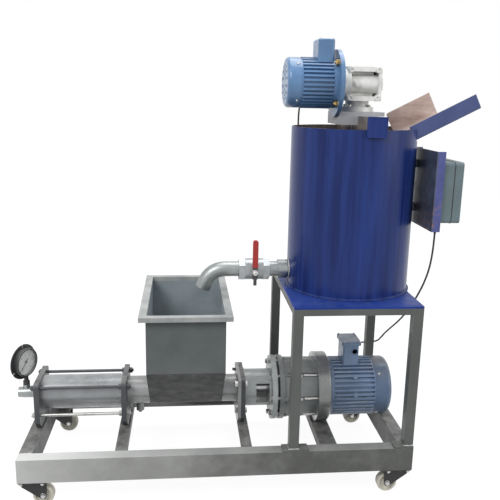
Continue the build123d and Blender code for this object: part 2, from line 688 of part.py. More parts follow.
# ---------------- induction motors ----------------
# A motor is drawn along +Z from its drive face at z = 0, then laid on its axis.
def motor_frame(radius, length, fins, fin_width, core_r, shaft_r, flange_r=0.0, flange=0.0):
    """Ribbed housing with end shields, a bore for the rotor core and an optional flange."""
    fin_depth = radius * 0.12
    shield = 14.0
    body = Cylinder(radius - fin_depth, length, align=FOOTED)
    body += Pos(0, 0, flange) * Cylinder(radius - 2, shield, align=FOOTED)
    body += Pos(0, 0, length - 6) * Cylinder(radius - 3, 6, align=FOOTED)
    if flange:
        body += Cylinder(flange_r, flange, align=FOOTED)
    ribs_start, ribs_end = flange + shield, length - 6
    for i in range(fins):
        rib = Pos(radius - fin_depth, 0, ribs_start) * Box(
            2 * fin_depth, fin_width, ribs_end - ribs_start, align=FOOTED)
        body += Rot(0, 0, 360 * (i + 0.5) / fins) * rib
    core_start, core_end = flange + shield, length - 16
    body -= Pos(0, 0, core_start) * Cylinder(core_r + GAP, core_end - core_start, align=FOOTED)
    return body - Cylinder(shaft_r + RUNNING, length, align=FOOTED)


def motor_cover(radius, length, wall=2.0):
    """Fan cover with a ring of air slots in its domed end."""
    cup = Cylinder(radius, length, align=FOOTED)
    cup = fillet(cup.edges().filter_by(GeomType.CIRCLE).group_by(Axis.Z)[-1], radius * 0.16)
    cup -= Cylinder(radius - wall, length - wall * 4, align=FOOTED)
    for ring, count in ((0.3, 6), (0.5, 10), (0.68, 14)):
        for i in range(count):
            slot = Pos(radius * ring, 0, length - wall * 6) * Box(
                radius * 0.1, radius * 0.12, wall * 8, align=FOOTED)
            cup -= Rot(0, 0, 360 * i / count) * slot
    return cup


def motor_rotor(length, core_r, shaft_r, out, flange, cover_length, fan_r):
    """Shaft with rotor core and cooling fan; out is how far the shaft leaves the drive face."""
    shield = 14.0
    fan_z = length + 8
    shaft = Pos(0, 0, -out) * Cylinder(shaft_r, out + fan_z + 18, align=FOOTED)
    core_start, core_end = flange + shield + 8, length - 24
    shaft += Pos(0, 0, core_start) * Cylinder(core_r, core_end - core_start, align=FOOTED)
    shaft += Pos(0, 0, fan_z) * Cylinder(shaft_r + 8, 16, align=FOOTED)
    shaft += Pos(0, 0, fan_z) * Cylinder(fan_r * 0.86, 2.5, align=FOOTED)
    blade_height = min(26.0, cover_length * 0.4)
    for i in range(7):
        blade = Pos(fan_r * 0.56, 0, fan_z) * Box(fan_r * 0.6, 2.5, blade_height, align=FOOTED)
        shaft += Rot(0, 0, 360 * i / 7) * blade
    return shaft


PUMP_MOTOR = Location((MOTOR_START, 0, PUMP_Z), (0, 90, 0))
MIXER_MOTOR = Location((MIXER_FACE_X, WORM_Y, WORM_Z), (0, -90, 0))


def motor_housing():
    return PUMP_MOTOR * motor_frame(MOTOR_R, MOTOR_LENGTH, MOTOR_FINS, MOTOR_FIN_WIDTH,
                                    MOTOR_CORE_R, MOTOR_SHAFT_R) + motor_lugs()


def motor_lugs():
    """Cast bosses on the side of the barrel."""
    lugs = None
    for rise in MOTOR_LUG_RISES:
        side = -math.sqrt(MOTOR_R ** 2 - rise ** 2)
        root = (MOTOR_LUG_X, side * 0.8, PUMP_Z + rise * 0.8)
        lean = Plane(origin=root, z_dir=(0, side, rise))
        lug = lean * Cylinder(MOTOR_LUG_R, MOTOR_R * 0.2 + 1.0, align=FOOTED)
        lugs = lug if lugs is None else lugs + lug
    return lugs


def motor_fan_cover():
    return PUMP_MOTOR * Pos(0, 0, MOTOR_LENGTH) * motor_cover(MOTOR_COVER_R, MOTOR_COVER_LENGTH)


def motor_shaft():
    out = ADAPTER_LENGTH + 29
    return PUMP_MOTOR * motor_rotor(MOTOR_LENGTH, MOTOR_CORE_R, MOTOR_SHAFT_R, out, 0.0,
                                    MOTOR_COVER_LENGTH, MOTOR_COVER_R - 6)


TERMINAL_X = (MOTOR_START + 48.0, MOTOR_START + 101.0)
TERMINAL_Y = (-42.0, 36.0)
TERMINAL_TOP = PUMP_Z + MOTOR_R + 73.0
TERMINAL_LID = 12.0
TERMINAL_LID_OVERHANG = 6.0


def terminal_lead_exit():
    """Where the lead enters the pump motor's terminal box, on its far side."""
    return (sum(TERMINAL_X) / 2 + 12, TERMINAL_Y[1], TERMINAL_TOP - 34)


def gland_y(x, y, z, side):
    """Cable gland that stands off a wall along Y, with a hole for its lead."""
    y0, y1 = sorted((y, y + side * GLAND_LENGTH))
    body = rod_y(y0, y1, GLAND_R, x, z)
    return body - rod_y(y0, y1, LEAD_R + RUNNING, x, z)


def motor_terminal_box():
    x0, x1 = TERMINAL_X
    y0, y1 = TERMINAL_Y
    top = TERMINAL_TOP - TERMINAL_LID
    box = block(x0, x1, y0, y1, PUMP_Z + MOTOR_R * 0.8, top)
    box = fillet(box.edges().filter_by(Axis.Z), 6.0)
    box -= rod_x(x0 - 1, x1 + 1, MOTOR_R + GAP)
    wall = 4.0
    box -= block(x0 + wall, x1 - wall, y0 + wall, y1 - wall, PUMP_Z + MOTOR_R + 8, top)
    hole_x, _, hole_z = terminal_lead_exit()
    box -= rod_y(y0 - 1, y0 + wall + 1, GLAND_R, x1 - 14, hole_z)
    over = TERMINAL_LID_OVERHANG
    lid = block(x0 - over, x1 + over, y0 - over, y1 + over, top, TERMINAL_TOP)
    lid = fillet(lid.edges().filter_by(Axis.Z), 7.0)
    lid = fillet(lid.edges().group_by(Axis.Z)[-1], 3.0)
    return group(box - rod_y(y1 - wall - 1, y1 + 1, LEAD_R + RUNNING, hole_x, hole_z), lid)


def mixer_motor():
    return MIXER_MOTOR * motor_frame(MIXER_MOTOR_R, MIXER_MOTOR_LENGTH, MIXER_FINS,
                                     MIXER_FIN_WIDTH, MIXER_CORE_R, MIXER_MOTOR_SHAFT_R,
                                     MIXER_FLANGE_R, MIXER_FLANGE)


def mixer_fan_cover():
    return MIXER_MOTOR * Pos(0, 0, MIXER_MOTOR_LENGTH) * motor_cover(
        MIXER_COVER_R, MIXER_COVER_LENGTH)


def mixer_motor_shaft():
    """Rotor of the mixer motor; its drive end carries the worm inside the gearbox."""
    out = 2 * GEARBOX_HALF + GEARBOX_ADAPTER - 22
    rotor_set = motor_rotor(MIXER_MOTOR_LENGTH, MIXER_CORE_R, MIXER_MOTOR_SHAFT_R, out,
                            MIXER_FLANGE, MIXER_COVER_LENGTH, MIXER_COVER_R - 6)
    worm = Pos(0, 0, -out + 12) * Cylinder(WORM_R, out - 30, align=FOOTED)
    return MIXER_MOTOR * (rotor_set + worm)


MIXER_BOX_X = (MIXER_FACE_X - 72.0, MIXER_FACE_X - 23.0)
MIXER_BOX_HALF = 46.0
MIXER_BOX_TOP = WORM_Z + MIXER_MOTOR_R + 51.0


def mixer_lead_exit():
    return (sum(MIXER_BOX_X) / 2, WORM_Y + MIXER_BOX_HALF, MIXER_BOX_TOP - 30)


def mixer_terminal_box():
    x0, x1 = MIXER_BOX_X
    y0, y1 = WORM_Y - MIXER_BOX_HALF, WORM_Y + MIXER_BOX_HALF
    box = block(x0, x1, y0, y1, WORM_Z + MIXER_MOTOR_R * 0.55, MIXER_BOX_TOP)
    box = fillet(box.edges().filter_by(Axis.Z), 8.0)
    box = fillet(box.edges().group_by(Axis.Z)[-1], 6.0)
    box -= rod_x(x0 - 1, x1 + 1, MIXER_MOTOR_R + GAP, WORM_Y, WORM_Z)
    box -= block(x0 + 4, x1 - 4, y0 + 4, y1 - 4, WORM_Z + MIXER_MOTOR_R + 8, MIXER_BOX_TOP - 6)
    hole_x, _, hole_z = mixer_lead_exit()
    return box - rod_y(y1 - 5, y1 + 1, LEAD_R + RUNNING, hole_x, hole_z)


# ---------------- gearbox, bridge and mixer ----------------
def gearbox_pad(z0, z1):
    """One of the two bolting faces, a rounded square with a boss at each corner."""
    x0, x1 = MIXER_SHAFT_X - GEARBOX_HALF, MIXER_SHAFT_X + GEARBOX_HALF
    y0, y1 = WORM_Y - 30, GEARBOX_HALF + 4
    pad = block(x0, x1, y0, y1, z0, z1)
    return fillet(pad.edges().filter_by(Axis.Z), 12.0)


def worm_gearbox():
    """Cast worm gearbox: bolting faces, end plate, waist, motor neck and output foot."""
    top = GEARBOX_LOW + GEARBOX_HEIGHT
    x0, x1 = MIXER_SHAFT_X - GEARBOX_HALF, MIXER_SHAFT_X + GEARBOX_HALF
    y0, y1 = WORM_Y - 30, GEARBOX_HALF + 4
    body = gearbox_pad(GEARBOX_LOW, GEARBOX_LOW + GEARBOX_PAD) + gearbox_pad(top - GEARBOX_PAD, top)
    body += rod_z(GEARBOX_LOW, top, GEARBOX_HALF - 10, MIXER_SHAFT_X)
    body += rod_x(x0, x1, 27.0, WORM_Y, WORM_Z)
    body += rod_x(MIXER_FACE_X, x0 + 10, GEARBOX_ADAPTER_R, WORM_Y, WORM_Z)
    for x in (x0, x1 - 9):
        plate = block(x, x + 9, y0, y1, GEARBOX_LOW, top)
        body += fillet(plate.edges().filter_by(Axis.X), 10.0)
    body += block(x0 + 18, x1 - 18, WORM_Y, 0, GEARBOX_LOW + 8, top - 8)
    body += rod_z(SADDLE_TOP + GEARBOX_FLANGE, GEARBOX_LOW, 36.0, MIXER_SHAFT_X)
    body += rod_z(SADDLE_TOP, SADDLE_TOP + GEARBOX_FLANGE, GEARBOX_FLANGE_R, MIXER_SHAFT_X)
    body += rod_y(WORM_Y - 36, WORM_Y, 10.0, MIXER_SHAFT_X - 24, WORM_Z)
    cavity = rod_z(WORM_Z - WHEEL_WIDTH / 2 - 2, WORM_Z + WHEEL_WIDTH / 2 + 2, WHEEL_R + 2,
                   MIXER_SHAFT_X)
    cavity += rod_x(MIXER_FACE_X, x1 - 12, WORM_R + 2, WORM_Y, WORM_Z)
    return body - cavity - rod_z(SADDLE_TOP, top + 1, MIXER_SHAFT_R + RUNNING, MIXER_SHAFT_X)


def bridge_bar():
    """Square tube across the tank's mouth that carries the mixer drive."""
    half = BRIDGE_SIZE / 2
    reach = TANK_R + BRIDGE_OVERHANG
    low = BRIDGE_TOP - BRIDGE_SIZE
    bar = block(BRIDGE_X - half, BRIDGE_X + half, -reach, reach, low, BRIDGE_TOP)
    inner = half - BRIDGE_WALL
    bar -= block(BRIDGE_X - inner, BRIDGE_X + inner, -reach + BRIDGE_WALL, reach - BRIDGE_WALL,
                 low + BRIDGE_WALL, BRIDGE_TOP - BRIDGE_WALL)
    return bar - rod_z(low - 1, BRIDGE_TOP + 1, MIXER_SHAFT_R + 2, MIXER_SHAFT_X)


def gearbox_saddle():
    """Plate on the bridge bar under the gearbox, lipped down each side and slotted so that
    the motor's flange clears it."""
    x0, x1 = MIXER_SHAFT_X - 76, MIXER_SHAFT_X + 64
    y0, y1 = WORM_Y - 38, GEARBOX_HALF + 8
    plate = block(x0, x1, y0, y1, BRIDGE_TOP, SADDLE_TOP)
    lip_end = BRIDGE_X - BRIDGE_SIZE / 2
    for y in (y0, y1 - SADDLE_LIP_WALL):
        plate += block(x0, lip_end, y, y + SADDLE_LIP_WALL, BRIDGE_TOP - SADDLE_LIP, BRIDGE_TOP)
    plate += block(x0, x0 + SADDLE_LIP_WALL, y0, y1, BRIDGE_TOP - SADDLE_LIP, BRIDGE_TOP)
    plate -= rod_x(MIXER_FACE_X - MIXER_FLANGE - 3, MIXER_FACE_X + 1, MIXER_FLANGE_R + 2,
                   WORM_Y, WORM_Z)
    return plate - rod_z(BRIDGE_TOP - 1, SADDLE_TOP + 1, MIXER_SHAFT_R + 2, MIXER_SHAFT_X)


def mixer_shaft():
    """Output shaft with its wheel in the gearbox and pairs of pitched paddles in the tank."""
    low = TABLE_TOP + PADDLE_FLOOR_GAP - 20
    shaft = rod_z(low, GEARBOX_LOW + GEARBOX_HEIGHT - 6, MIXER_SHAFT_R, MIXER_SHAFT_X)
    shaft += rod_z(WORM_Z - WHEEL_WIDTH / 2, WORM_Z + WHEEL_WIDTH / 2, WHEEL_R, MIXER_SHAFT_X)
    for level in range(PADDLE_LEVELS):
        z = TABLE_TOP + PADDLE_FLOOR_GAP + level * PADDLE_SPACING
        shaft += rod_z(z - 16, z + 16, MIXER_SHAFT_R + 8, MIXER_SHAFT_X)
        for side in (0, 180):
            blade = Pos(PADDLE_R / 2 + 8, 0, 0) * Rot(PADDLE_PITCH_ANGLE, 0, 0) * Box(
                PADDLE_R - 16, PADDLE_THICK, PADDLE_WIDTH)
            shaft += Pos(MIXER_SHAFT_X, 0, z) * Rot(0, 0, side + 60 * level) * blade
    return shaft


# ---------------- stand, table and tank ----------------
def stand_legs():
    legs = []
    for sx, sy in CORNERS:
        outer_x = BASE_END if sx > 0 else STAND_X0
        x0, x1 = sorted((outer_x, outer_x - sx * LEG_SIZE))
        y0, y1 = sorted((sy * STAND_HALF, sy * (STAND_HALF - LEG_SIZE)))
        leg = block(x0, x1, y0, y1, RAIL_TOP + FOOT_THICK, STAND_TOP)
        leg -= block(x0 + LEG_WALL, x1 - LEG_WALL, y0 + LEG_WALL, y1 - LEG_WALL,
                     RAIL_TOP + FOOT_THICK, STAND_TOP)
        foot_x0, foot_x1 = sorted((outer_x + min(sx, 0) * FOOT_OUT, outer_x - sx * FOOT_LENGTH))
        foot_y0, foot_y1 = sorted((sy * BASE_HALF, sy * (BASE_HALF - RAIL_FLANGE)))
        legs.append(leg + block(foot_x0, foot_x1, foot_y0, foot_y1, RAIL_TOP,
                                RAIL_TOP + FOOT_THICK))
    return group(*legs)


def stand_top_frame():
    """Four rails between the legs, under the table plate."""
    low = STAND_TOP - TOP_RAIL_HEIGHT
    rails = []
    for side in (-1, 1):
        y0, y1 = sorted((side * STAND_HALF, side * (STAND_HALF - LEG_SIZE)))
        rails.append(block(STAND_X0 + LEG_SIZE, BASE_END - LEG_SIZE, y0, y1, low, STAND_TOP))
    reach = STAND_HALF - LEG_SIZE
    for x0 in (STAND_X0, BASE_END - LEG_SIZE):
        rails.append(block(x0, x0 + LEG_SIZE, -reach, reach, low, STAND_TOP))
    return group(*rails)


def tank_table():
    return block(STAND_X0, BASE_END, -STAND_HALF, STAND_HALF, STAND_TOP, TABLE_TOP)


def tank_shell():
    """Open cylinder welded to the table, notched for the bridge bar and the chute."""
    shell = rod_z(TABLE_TOP, TANK_TOP, TANK_R, TANK_X)
    weld = Pos(TANK_X, 0, TABLE_TOP) * Cone(TANK_R + TANK_WELD, TANK_R, TANK_WELD, align=FOOTED)
    shell += weld
    shell -= rod_z(TABLE_TOP, TANK_TOP, TANK_R - TANK_WALL, TANK_X)
    half = BRIDGE_SIZE / 2
    reach = TANK_R + TANK_WELD
    shell -= block(BRIDGE_X - half, BRIDGE_X + half, -reach, reach,
                   BRIDGE_TOP - BRIDGE_SIZE, TANK_TOP)
    notch = CHUTE_HALF_WIDTH
    shell -= block(TANK_X, TANK_X + reach, -notch, notch, TANK_TOP - CHUTE_DROP, TANK_TOP)
    return shell - rod_x(OUTLET_WALL_X - 5, TANK_X, PIPE_R + GAP, 0, OUTLET_Z)


def chute_place():
    """The chute's own frame: x runs up its slope, z stands on its floor."""
    root_x = TANK_X + math.sqrt(TANK_R ** 2 - CHUTE_HALF_WIDTH ** 2) - 2
    slope = math.radians(CHUTE_SLOPE)
    return Plane(origin=(root_x, 0, TANK_TOP - CHUTE_DROP),
                 x_dir=(math.cos(slope), 0, math.sin(slope)),
                 z_dir=(-math.sin(slope), 0, math.cos(slope)))


def loading_chute():
    """Folded chute: floor, a low long near side and a tall short far side."""
    near, far, half = CHUTE_NEAR_LENGTH, CHUTE_FAR_LENGTH, CHUTE_HALF_WIDTH
    wall, low, high = CHUTE_WALL, TANK_WALL, TANK_WALL + CHUTE_FAR_HEIGHT
    outer = block(0, near, -half, half, low, high)
    inner = block(-1, near + 1, -half + wall, half - wall, low + wall, high + 1)
    folds = outer.edges().filter_by(Axis.X).group_by(Axis.Z)[0].sort_by(Axis.Y)
    outer = fillet(folds[0], wall + 2)
    folds = outer.edges().filter_by(Axis.X).group_by(Axis.Z)[0].sort_by(Axis.Y)
    outer = fillet(folds[-1], CHUTE_FOLD_R + wall)
    folds = inner.edges().filter_by(Axis.X).group_by(Axis.Z)[0].sort_by(Axis.Y)
    inner = fillet(folds[-1], CHUTE_FOLD_R)
    chute = outer - inner
    chute -= block(-1, near + 1, -half - 1, 0, low + CHUTE_NEAR_HEIGHT, high + 1)
    skew = make_face(Polyline((near, -half - 1), (far, half), (far, half + 1),
                              (near + 1, half + 1), (near + 1, -half - 1), close=True))
    chute -= Pos(0, 0, low - 1) * extrude(skew, high + 2)
    corners = chute.edges().filter_by(Axis.Y).group_by(Axis.Z)[-1]
    chute = chute_place() * fillet(corners, 7.0)
    return chute - rod_z(TABLE_TOP, TANK_TOP - CHUTE_DROP, TANK_R + GAP, TANK_X)


# ---------------- tank outlet ----------------
def outlet_nipple():
    """Pipe nipple through the tank's wall, inside its weld socket."""
    pipe = rod_x(VALVE_END_X, OUTLET_WALL_X + TANK_WALL + 6, PIPE_R, 0, OUTLET_Z)
    socket = rod_x(OUTLET_WALL_X - SOCKET_LENGTH - 4, OUTLET_WALL_X - 4, SOCKET_R, 0, OUTLET_Z)
    return pipe + socket - rod_x(VALVE_END_X, OUTLET_WALL_X + TANK_WALL + 6, PIPE_BORE, 0, OUTLET_Z)


def valve_body():
    """Ball valve body with hexagon ends and a neck for the stem."""
    x0, x1 = VALVE_START_X, VALVE_END_X
    body = hexagon_x(x0, x0 + VALVE_END, VALVE_FLATS, 0, OUTLET_Z)
    body += hexagon_x(x1 - VALVE_END, x1, VALVE_FLATS, 0, OUTLET_Z)
    body += rod_x(x0 + VALVE_END, x1 - VALVE_END, VALVE_BODY_R, 0, OUTLET_Z)
    body += rod_y(-VALVE_NECK, 0, VALVE_NECK_R, VALVE_X, OUTLET_Z)
    body -= rod_x(x0, x1, PIPE_BORE, 0, OUTLET_Z)
    body -= ball(BALL_R + GAP, VALVE_X, 0, OUTLET_Z)
    return body - rod_y(-VALVE_NECK, 0, STEM_R + RUNNING, VALVE_X, OUTLET_Z)


def valve_ball():
    """Ball and stem; with the lever upright its bore stands across the pipe."""
    sphere = ball(BALL_R, VALVE_X, 0, OUTLET_Z)
    sphere -= rod_z(OUTLET_Z - BALL_R, OUTLET_Z + BALL_R, BALL_BORE, VALVE_X)
    stem_end = -(VALVE_NECK + LEVER_THICK + 1 + 8)
    stem = rod_y(stem_end, -BALL_R + 2, STEM_R, VALVE_X, OUTLET_Z)
    return sphere + stem


def valve_lever():
    """Pressed lever on the stem, with its dipped grip as a second piece."""
    y0 = -(VALVE_NECK + 1 + LEVER_THICK)
    y1 = y0 + LEVER_THICK
    half = LEVER_WIDTH / 2
    x, z = VALVE_X, OUTLET_Z
    grip_low = z + LEVER_UP - GRIP_LENGTH
    blade = block(x - half, x + half, y0, y1, z - 22, grip_low)
    blade += block(x - half * 0.6, x + half * 0.6, y0, y1, z - LEVER_DOWN, z - 20)
    blade += block(x - half + 5, x + half - 5, y0, y1, grip_low, z + LEVER_UP - 6)
    blade -= rod_y(y0 - 1, y1 + 1, STEM_R + GAP, x, z)
    grip = block(x - half, x + half, y0 - GRIP_WALL, y1 + GRIP_WALL, grip_low, z + LEVER_UP)
    grip = fillet(grip.edges().filter_by(Axis.Y).group_by(Axis.Z)[-1], half * 0.8)
    grip -= block(x - half + 5, x + half - 5, y0, y1, grip_low, z + LEVER_UP - 6)
    return group(blade, grip)


def spout_path():
    start = (VALVE_START_X, 0, OUTLET_Z)
    run_end = (VALVE_START_X - SPOUT_RUN, 0, OUTLET_Z)
    bend = math.radians(SPOUT_BEND)
    turn = (run_end[0] - SPOUT_BEND_R * math.sin(bend), 0,
            OUTLET_Z - SPOUT_BEND_R * (1 - math.cos(bend)))
    half = bend / 2
    mid = (run_end[0] - SPOUT_BEND_R * math.sin(half), 0,
           OUTLET_Z - SPOUT_BEND_R * (1 - math.cos(half)))
    end = (turn[0] - SPOUT_TAIL * math.cos(bend), 0, turn[2] - SPOUT_TAIL * math.sin(bend))
    return start, run_end, mid, turn, end


def spout():
    """Bent pipe that pours from the valve into the hopper."""
    start, run_end, mid, turn, end = spout_path()
    path = Wire([Line(start, run_end), ThreePointArc(run_end, mid, turn), Line(turn, end)])
    mouth = Plane(origin=start, x_dir=(0, 1, 0), z_dir=(-1, 0, 0))
    outer = sweep(mouth * Circle(PIPE_R), path)
    return outer - sweep(mouth * Circle(PIPE_BORE), path)


# ---------------- outlet tee and gauge ----------------
def discharge_tee():
    x = TRAIN_START
    nose = Pos(x, 0, PUMP_Z) * Rot(0, -90, 0) * Cone(TEE_NOSE_R, TEE_R, TEE_NOSE, align=FOOTED)
    body = nose + rod_x(x - TEE_LENGTH, x - TEE_NOSE, TEE_R)
    body += rod_x(x - TEE_LENGTH - OUTLET_LENGTH, x - TEE_LENGTH, OUTLET_R)
    body += rod_z(PUMP_Z, PUMP_Z + TEE_R + 10, TEE_BOSS_R, GAUGE_X)
    body -= rod_x(x - TEE_LENGTH - OUTLET_LENGTH, x, OUTLET_BORE)
    return body - rod_z(PUMP_Z, PUMP_Z + TEE_R + 10, GAUGE_STEM_R - 3, GAUGE_X)


def gauge_plane():
    turn = math.radians(GAUGE_TURN)
    facing = (math.cos(turn), math.sin(turn), 0)
    return Plane(origin=(GAUGE_X, 0, GAUGE_Z), x_dir=(-facing[1], facing[0], 0), z_dir=facing)


def gauge_case():
    """Case with its rear flange, screw slots and threaded stem; z runs out of the dial."""
    back = -GAUGE_DEPTH / 2
    case = Pos(0, 0, back) * Cylinder(GAUGE_R, GAUGE_DEPTH, align=FOOTED)
    flange = Pos(0, 0, back) * Cylinder(GAUGE_FLANGE_R, GAUGE_FLANGE, align=FOOTED)
    for i in range(3):
        slot = Pos(GAUGE_FLANGE_R - 4, 0, back) * Box(12, 4, GAUGE_FLANGE, align=FOOTED)
        flange -= Rot(0, 0, 90 + 120 * i) * slot
    room = 9.0
    case -= Pos(0, 0, -back - room) * Cylinder(GAUGE_R - GAUGE_WALL, room, align=FOOTED)
    case = gauge_plane() * (case + flange)
    stem = rod_z(PUMP_Z + TEE_R + 10, GAUGE_Z - GAUGE_R + 3, GAUGE_STEM_R, GAUGE_X)
    nut = Pos(GAUGE_X, 0, PUMP_Z + TEE_R + 10) * extrude(
        RegularPolygon(9.5, 6, major_radius=False), 12)
    return case + stem + nut


def gauge_glass():
    z = GAUGE_DEPTH / 2 - GLASS_THICK - 1
    return gauge_plane() * Pos(0, 0, z) * Cylinder(GAUGE_R - GAUGE_WALL - GAP, GLASS_THICK,
                                                   align=FOOTED)


def gauge_pointer():
    """Pointer at zero, lower left on the dial, on a spindle in the case."""
    floor = GAUGE_DEPTH / 2 - 9.0
    hub = Pos(0, 0, floor + 0.3) * Cylinder(4.0, 4.0, align=FOOTED)
    arm = Pos(8, 0, floor + 2) * Box(46, 2.2, POINTER_THICK, align=FOOTED)
    return gauge_plane() * Rot(0, 0, 225) * (hub + arm)


# ---------------- control box ----------------
def control_bracket():
    """Folded plate on two spacers from the tank, lipped along both upright edges."""
    y0 = BRACKET_CENTRE_Y - BRACKET_WIDTH / 2
    y1 = BRACKET_CENTRE_Y + BRACKET_WIDTH / 2
    z0, z1 = BRACKET_LOW, BRACKET_LOW + BRACKET_HEIGHT
    plate = block(BRACKET_X, BRACKET_X + BRACKET_WALL, y0, y1, z0, z1)
    for y in (y0, y1 - BRACKET_WALL):
        plate += block(BRACKET_X, BRACKET_X + BRACKET_LIP, y, y + BRACKET_WALL, z0, z1)
    for z in (z0 + 50, z1 - 50):
        spacer = block(TANK_X + TANK_R - 6, BRACKET_X, -8, 24, z - 12, z + 12)
        plate += spacer - rod_z(z - 13, z + 13, TANK_R + GAP, TANK_X)
    return plate


def enclosure_shell(x0, depth, open_front):
    """Moulded half of the control box, hollow towards the joint between the halves."""
    z0, z1 = ENCLOSURE_LOW, ENCLOSURE_LOW + ENCLOSURE_HEIGHT
    shell = block(x0, x0 + depth, ENCLOSURE_FRONT_Y, ENCLOSURE_BACK_Y, z0, z1)
    shell = fillet(shell.edges().filter_by(Axis.X), 10.0)
    wall = ENCLOSURE_WALL
    hollow_start = x0 + wall if open_front else x0
    return shell - block(hollow_start, hollow_start + depth - wall, ENCLOSURE_FRONT_Y + wall,
                         ENCLOSURE_BACK_Y - wall, z0 + wall, z1 - wall)


def motor_lead_start():
    """Under the control box, where the pump motor's lead leaves it."""
    return (ENCLOSURE_X + 36, ENCLOSURE_FRONT_Y + 58, ENCLOSURE_LOW)


def mixer_lead_end():
    """On the control box's far side, where the mixer motor's lead enters it."""
    return (ENCLOSURE_X + 36, ENCLOSURE_BACK_Y, ENCLOSURE_LOW + 50)


def control_box():
    shell = enclosure_shell(ENCLOSURE_X, ENCLOSURE_DEPTH, True)
    x, y, z = motor_lead_start()
    shell -= rod_z(z - 1, z + ENCLOSURE_WALL + 1, LEAD_R + RUNNING, x, y)
    x, y, z = mixer_lead_end()
    return shell - rod_y(y - ENCLOSURE_WALL - 1, y + 1, LEAD_R + RUNNING, x, z)


def button_place(index):
    return BRACKET_CENTRE_Y, ENCLOSURE_LOW + ENCLOSURE_HEIGHT * 0.6 + index * BUTTON_SPACING


def control_cover():
    cover = enclosure_shell(COVER_X, COVER_DEPTH, False)
    for index in (0, -1):
        y, z = button_place(index)
        cover -= rod_x(COVER_X, COVER_X + COVER_DEPTH + 1, BUTTON_R + GAP, y, z)
    return cover


def push_button(index):
    """Button with a rim behind the cover that stops it coming out."""
    y, z = button_place(index)
    face = COVER_X + COVER_DEPTH
    inner = face - ENCLOSURE_WALL
    stem = rod_x(inner - BUTTON_TRAVEL - 2, face + BUTTON_PROUD, BUTTON_R, y, z)
    return stem + rod_x(inner - BUTTON_TRAVEL - 5, inner - GAP, BUTTON_R + 3, y, z)


# ---------------- leads and their glands ----------------
def cable_glands():
    x, y, z = motor_lead_start()
    under = rod_z(z - GLAND_LENGTH, z, GLAND_R, x, y)
    under -= rod_z(z - GLAND_LENGTH, z, LEAD_R + RUNNING, x, y)
    x2, y2, z2 = mixer_lead_end()
    x3, y3, z3 = terminal_lead_exit()
    x4, y4, z4 = mixer_lead_exit()
    return group(under, gland_y(x2, y2, z2, 1), gland_y(x3, y3, z3, 1), gland_y(x4, y4, z4, 1))


def lead(points):
    """Round lead along straight runs joined by tangent arcs as large as the runs allow."""
    vectors = [Vector(*p) for p in points]
    radii = []
    for before, at, after in zip(vectors, vectors[1:], vectors[2:]):
        run = min((at - before).length, (after - at).length)
        turn = math.radians((at - before).get_angle(after - at))
        radii.append(0.45 * run / math.tan(turn / 2))
    path = FilletPolyline(*points, radius=radii)
    start = Plane(origin=points[0], z_dir=vectors[1] - vectors[0])
    tube = sweep(start * Circle(LEAD_R), path)
    print("lead length", round(path.length), "radii", [round(r) for r in radii],
          "volume share", round(tube.volume / (path.length * math.pi * LEAD_R ** 2), 3))
    return tube


def motor_lead_points():
    """From under the control box, down and round the stand's far leg to the pump motor."""
    end = terminal_lead_exit()
    return [
        motor_lead_start(), (671, -102, 800), (670, -100, 742), (666, -94, 690),
        (656, -84, 640), (644, -66, 592), (633, -38, 546), (625, -2, 502), (620, 46, 462),
        (617, 100, 423), (616, 152, 386), (618, 196, 353), (618, 235, 325), (605, 259, 312),
        (581, 272, 306), (548, 272, 304), (521, 256, 306), (500, 224, 312), (488, 184, 325),
        (480, 146, 344), (470, 110, 370), (end[0], 76, end[2]), end,
    ]


def mixer_lead_points():
    """From the mixer motor's terminal box, round the back of the tank to the control box."""
    start, end = mixer_lead_exit(), mixer_lead_end()
    return [
        start, (start[0], 40, start[2]), (303, 84, 1334), (295, 120, 1300), (286, 152, 1258),
        (280, 178, 1212), (278, 196, 1160), (280, 206, 1108), (292, 212, 1062),
        (320, 222, 1026), (362, 230, 998), (416, 232, 976), (470, 226, 958), (520, 212, 940),
        (566, 190, 926), (606, 160, 914), (638, 126, 906), (660, 90, 901),
        (end[0], 50, end[2]), end,
    ]


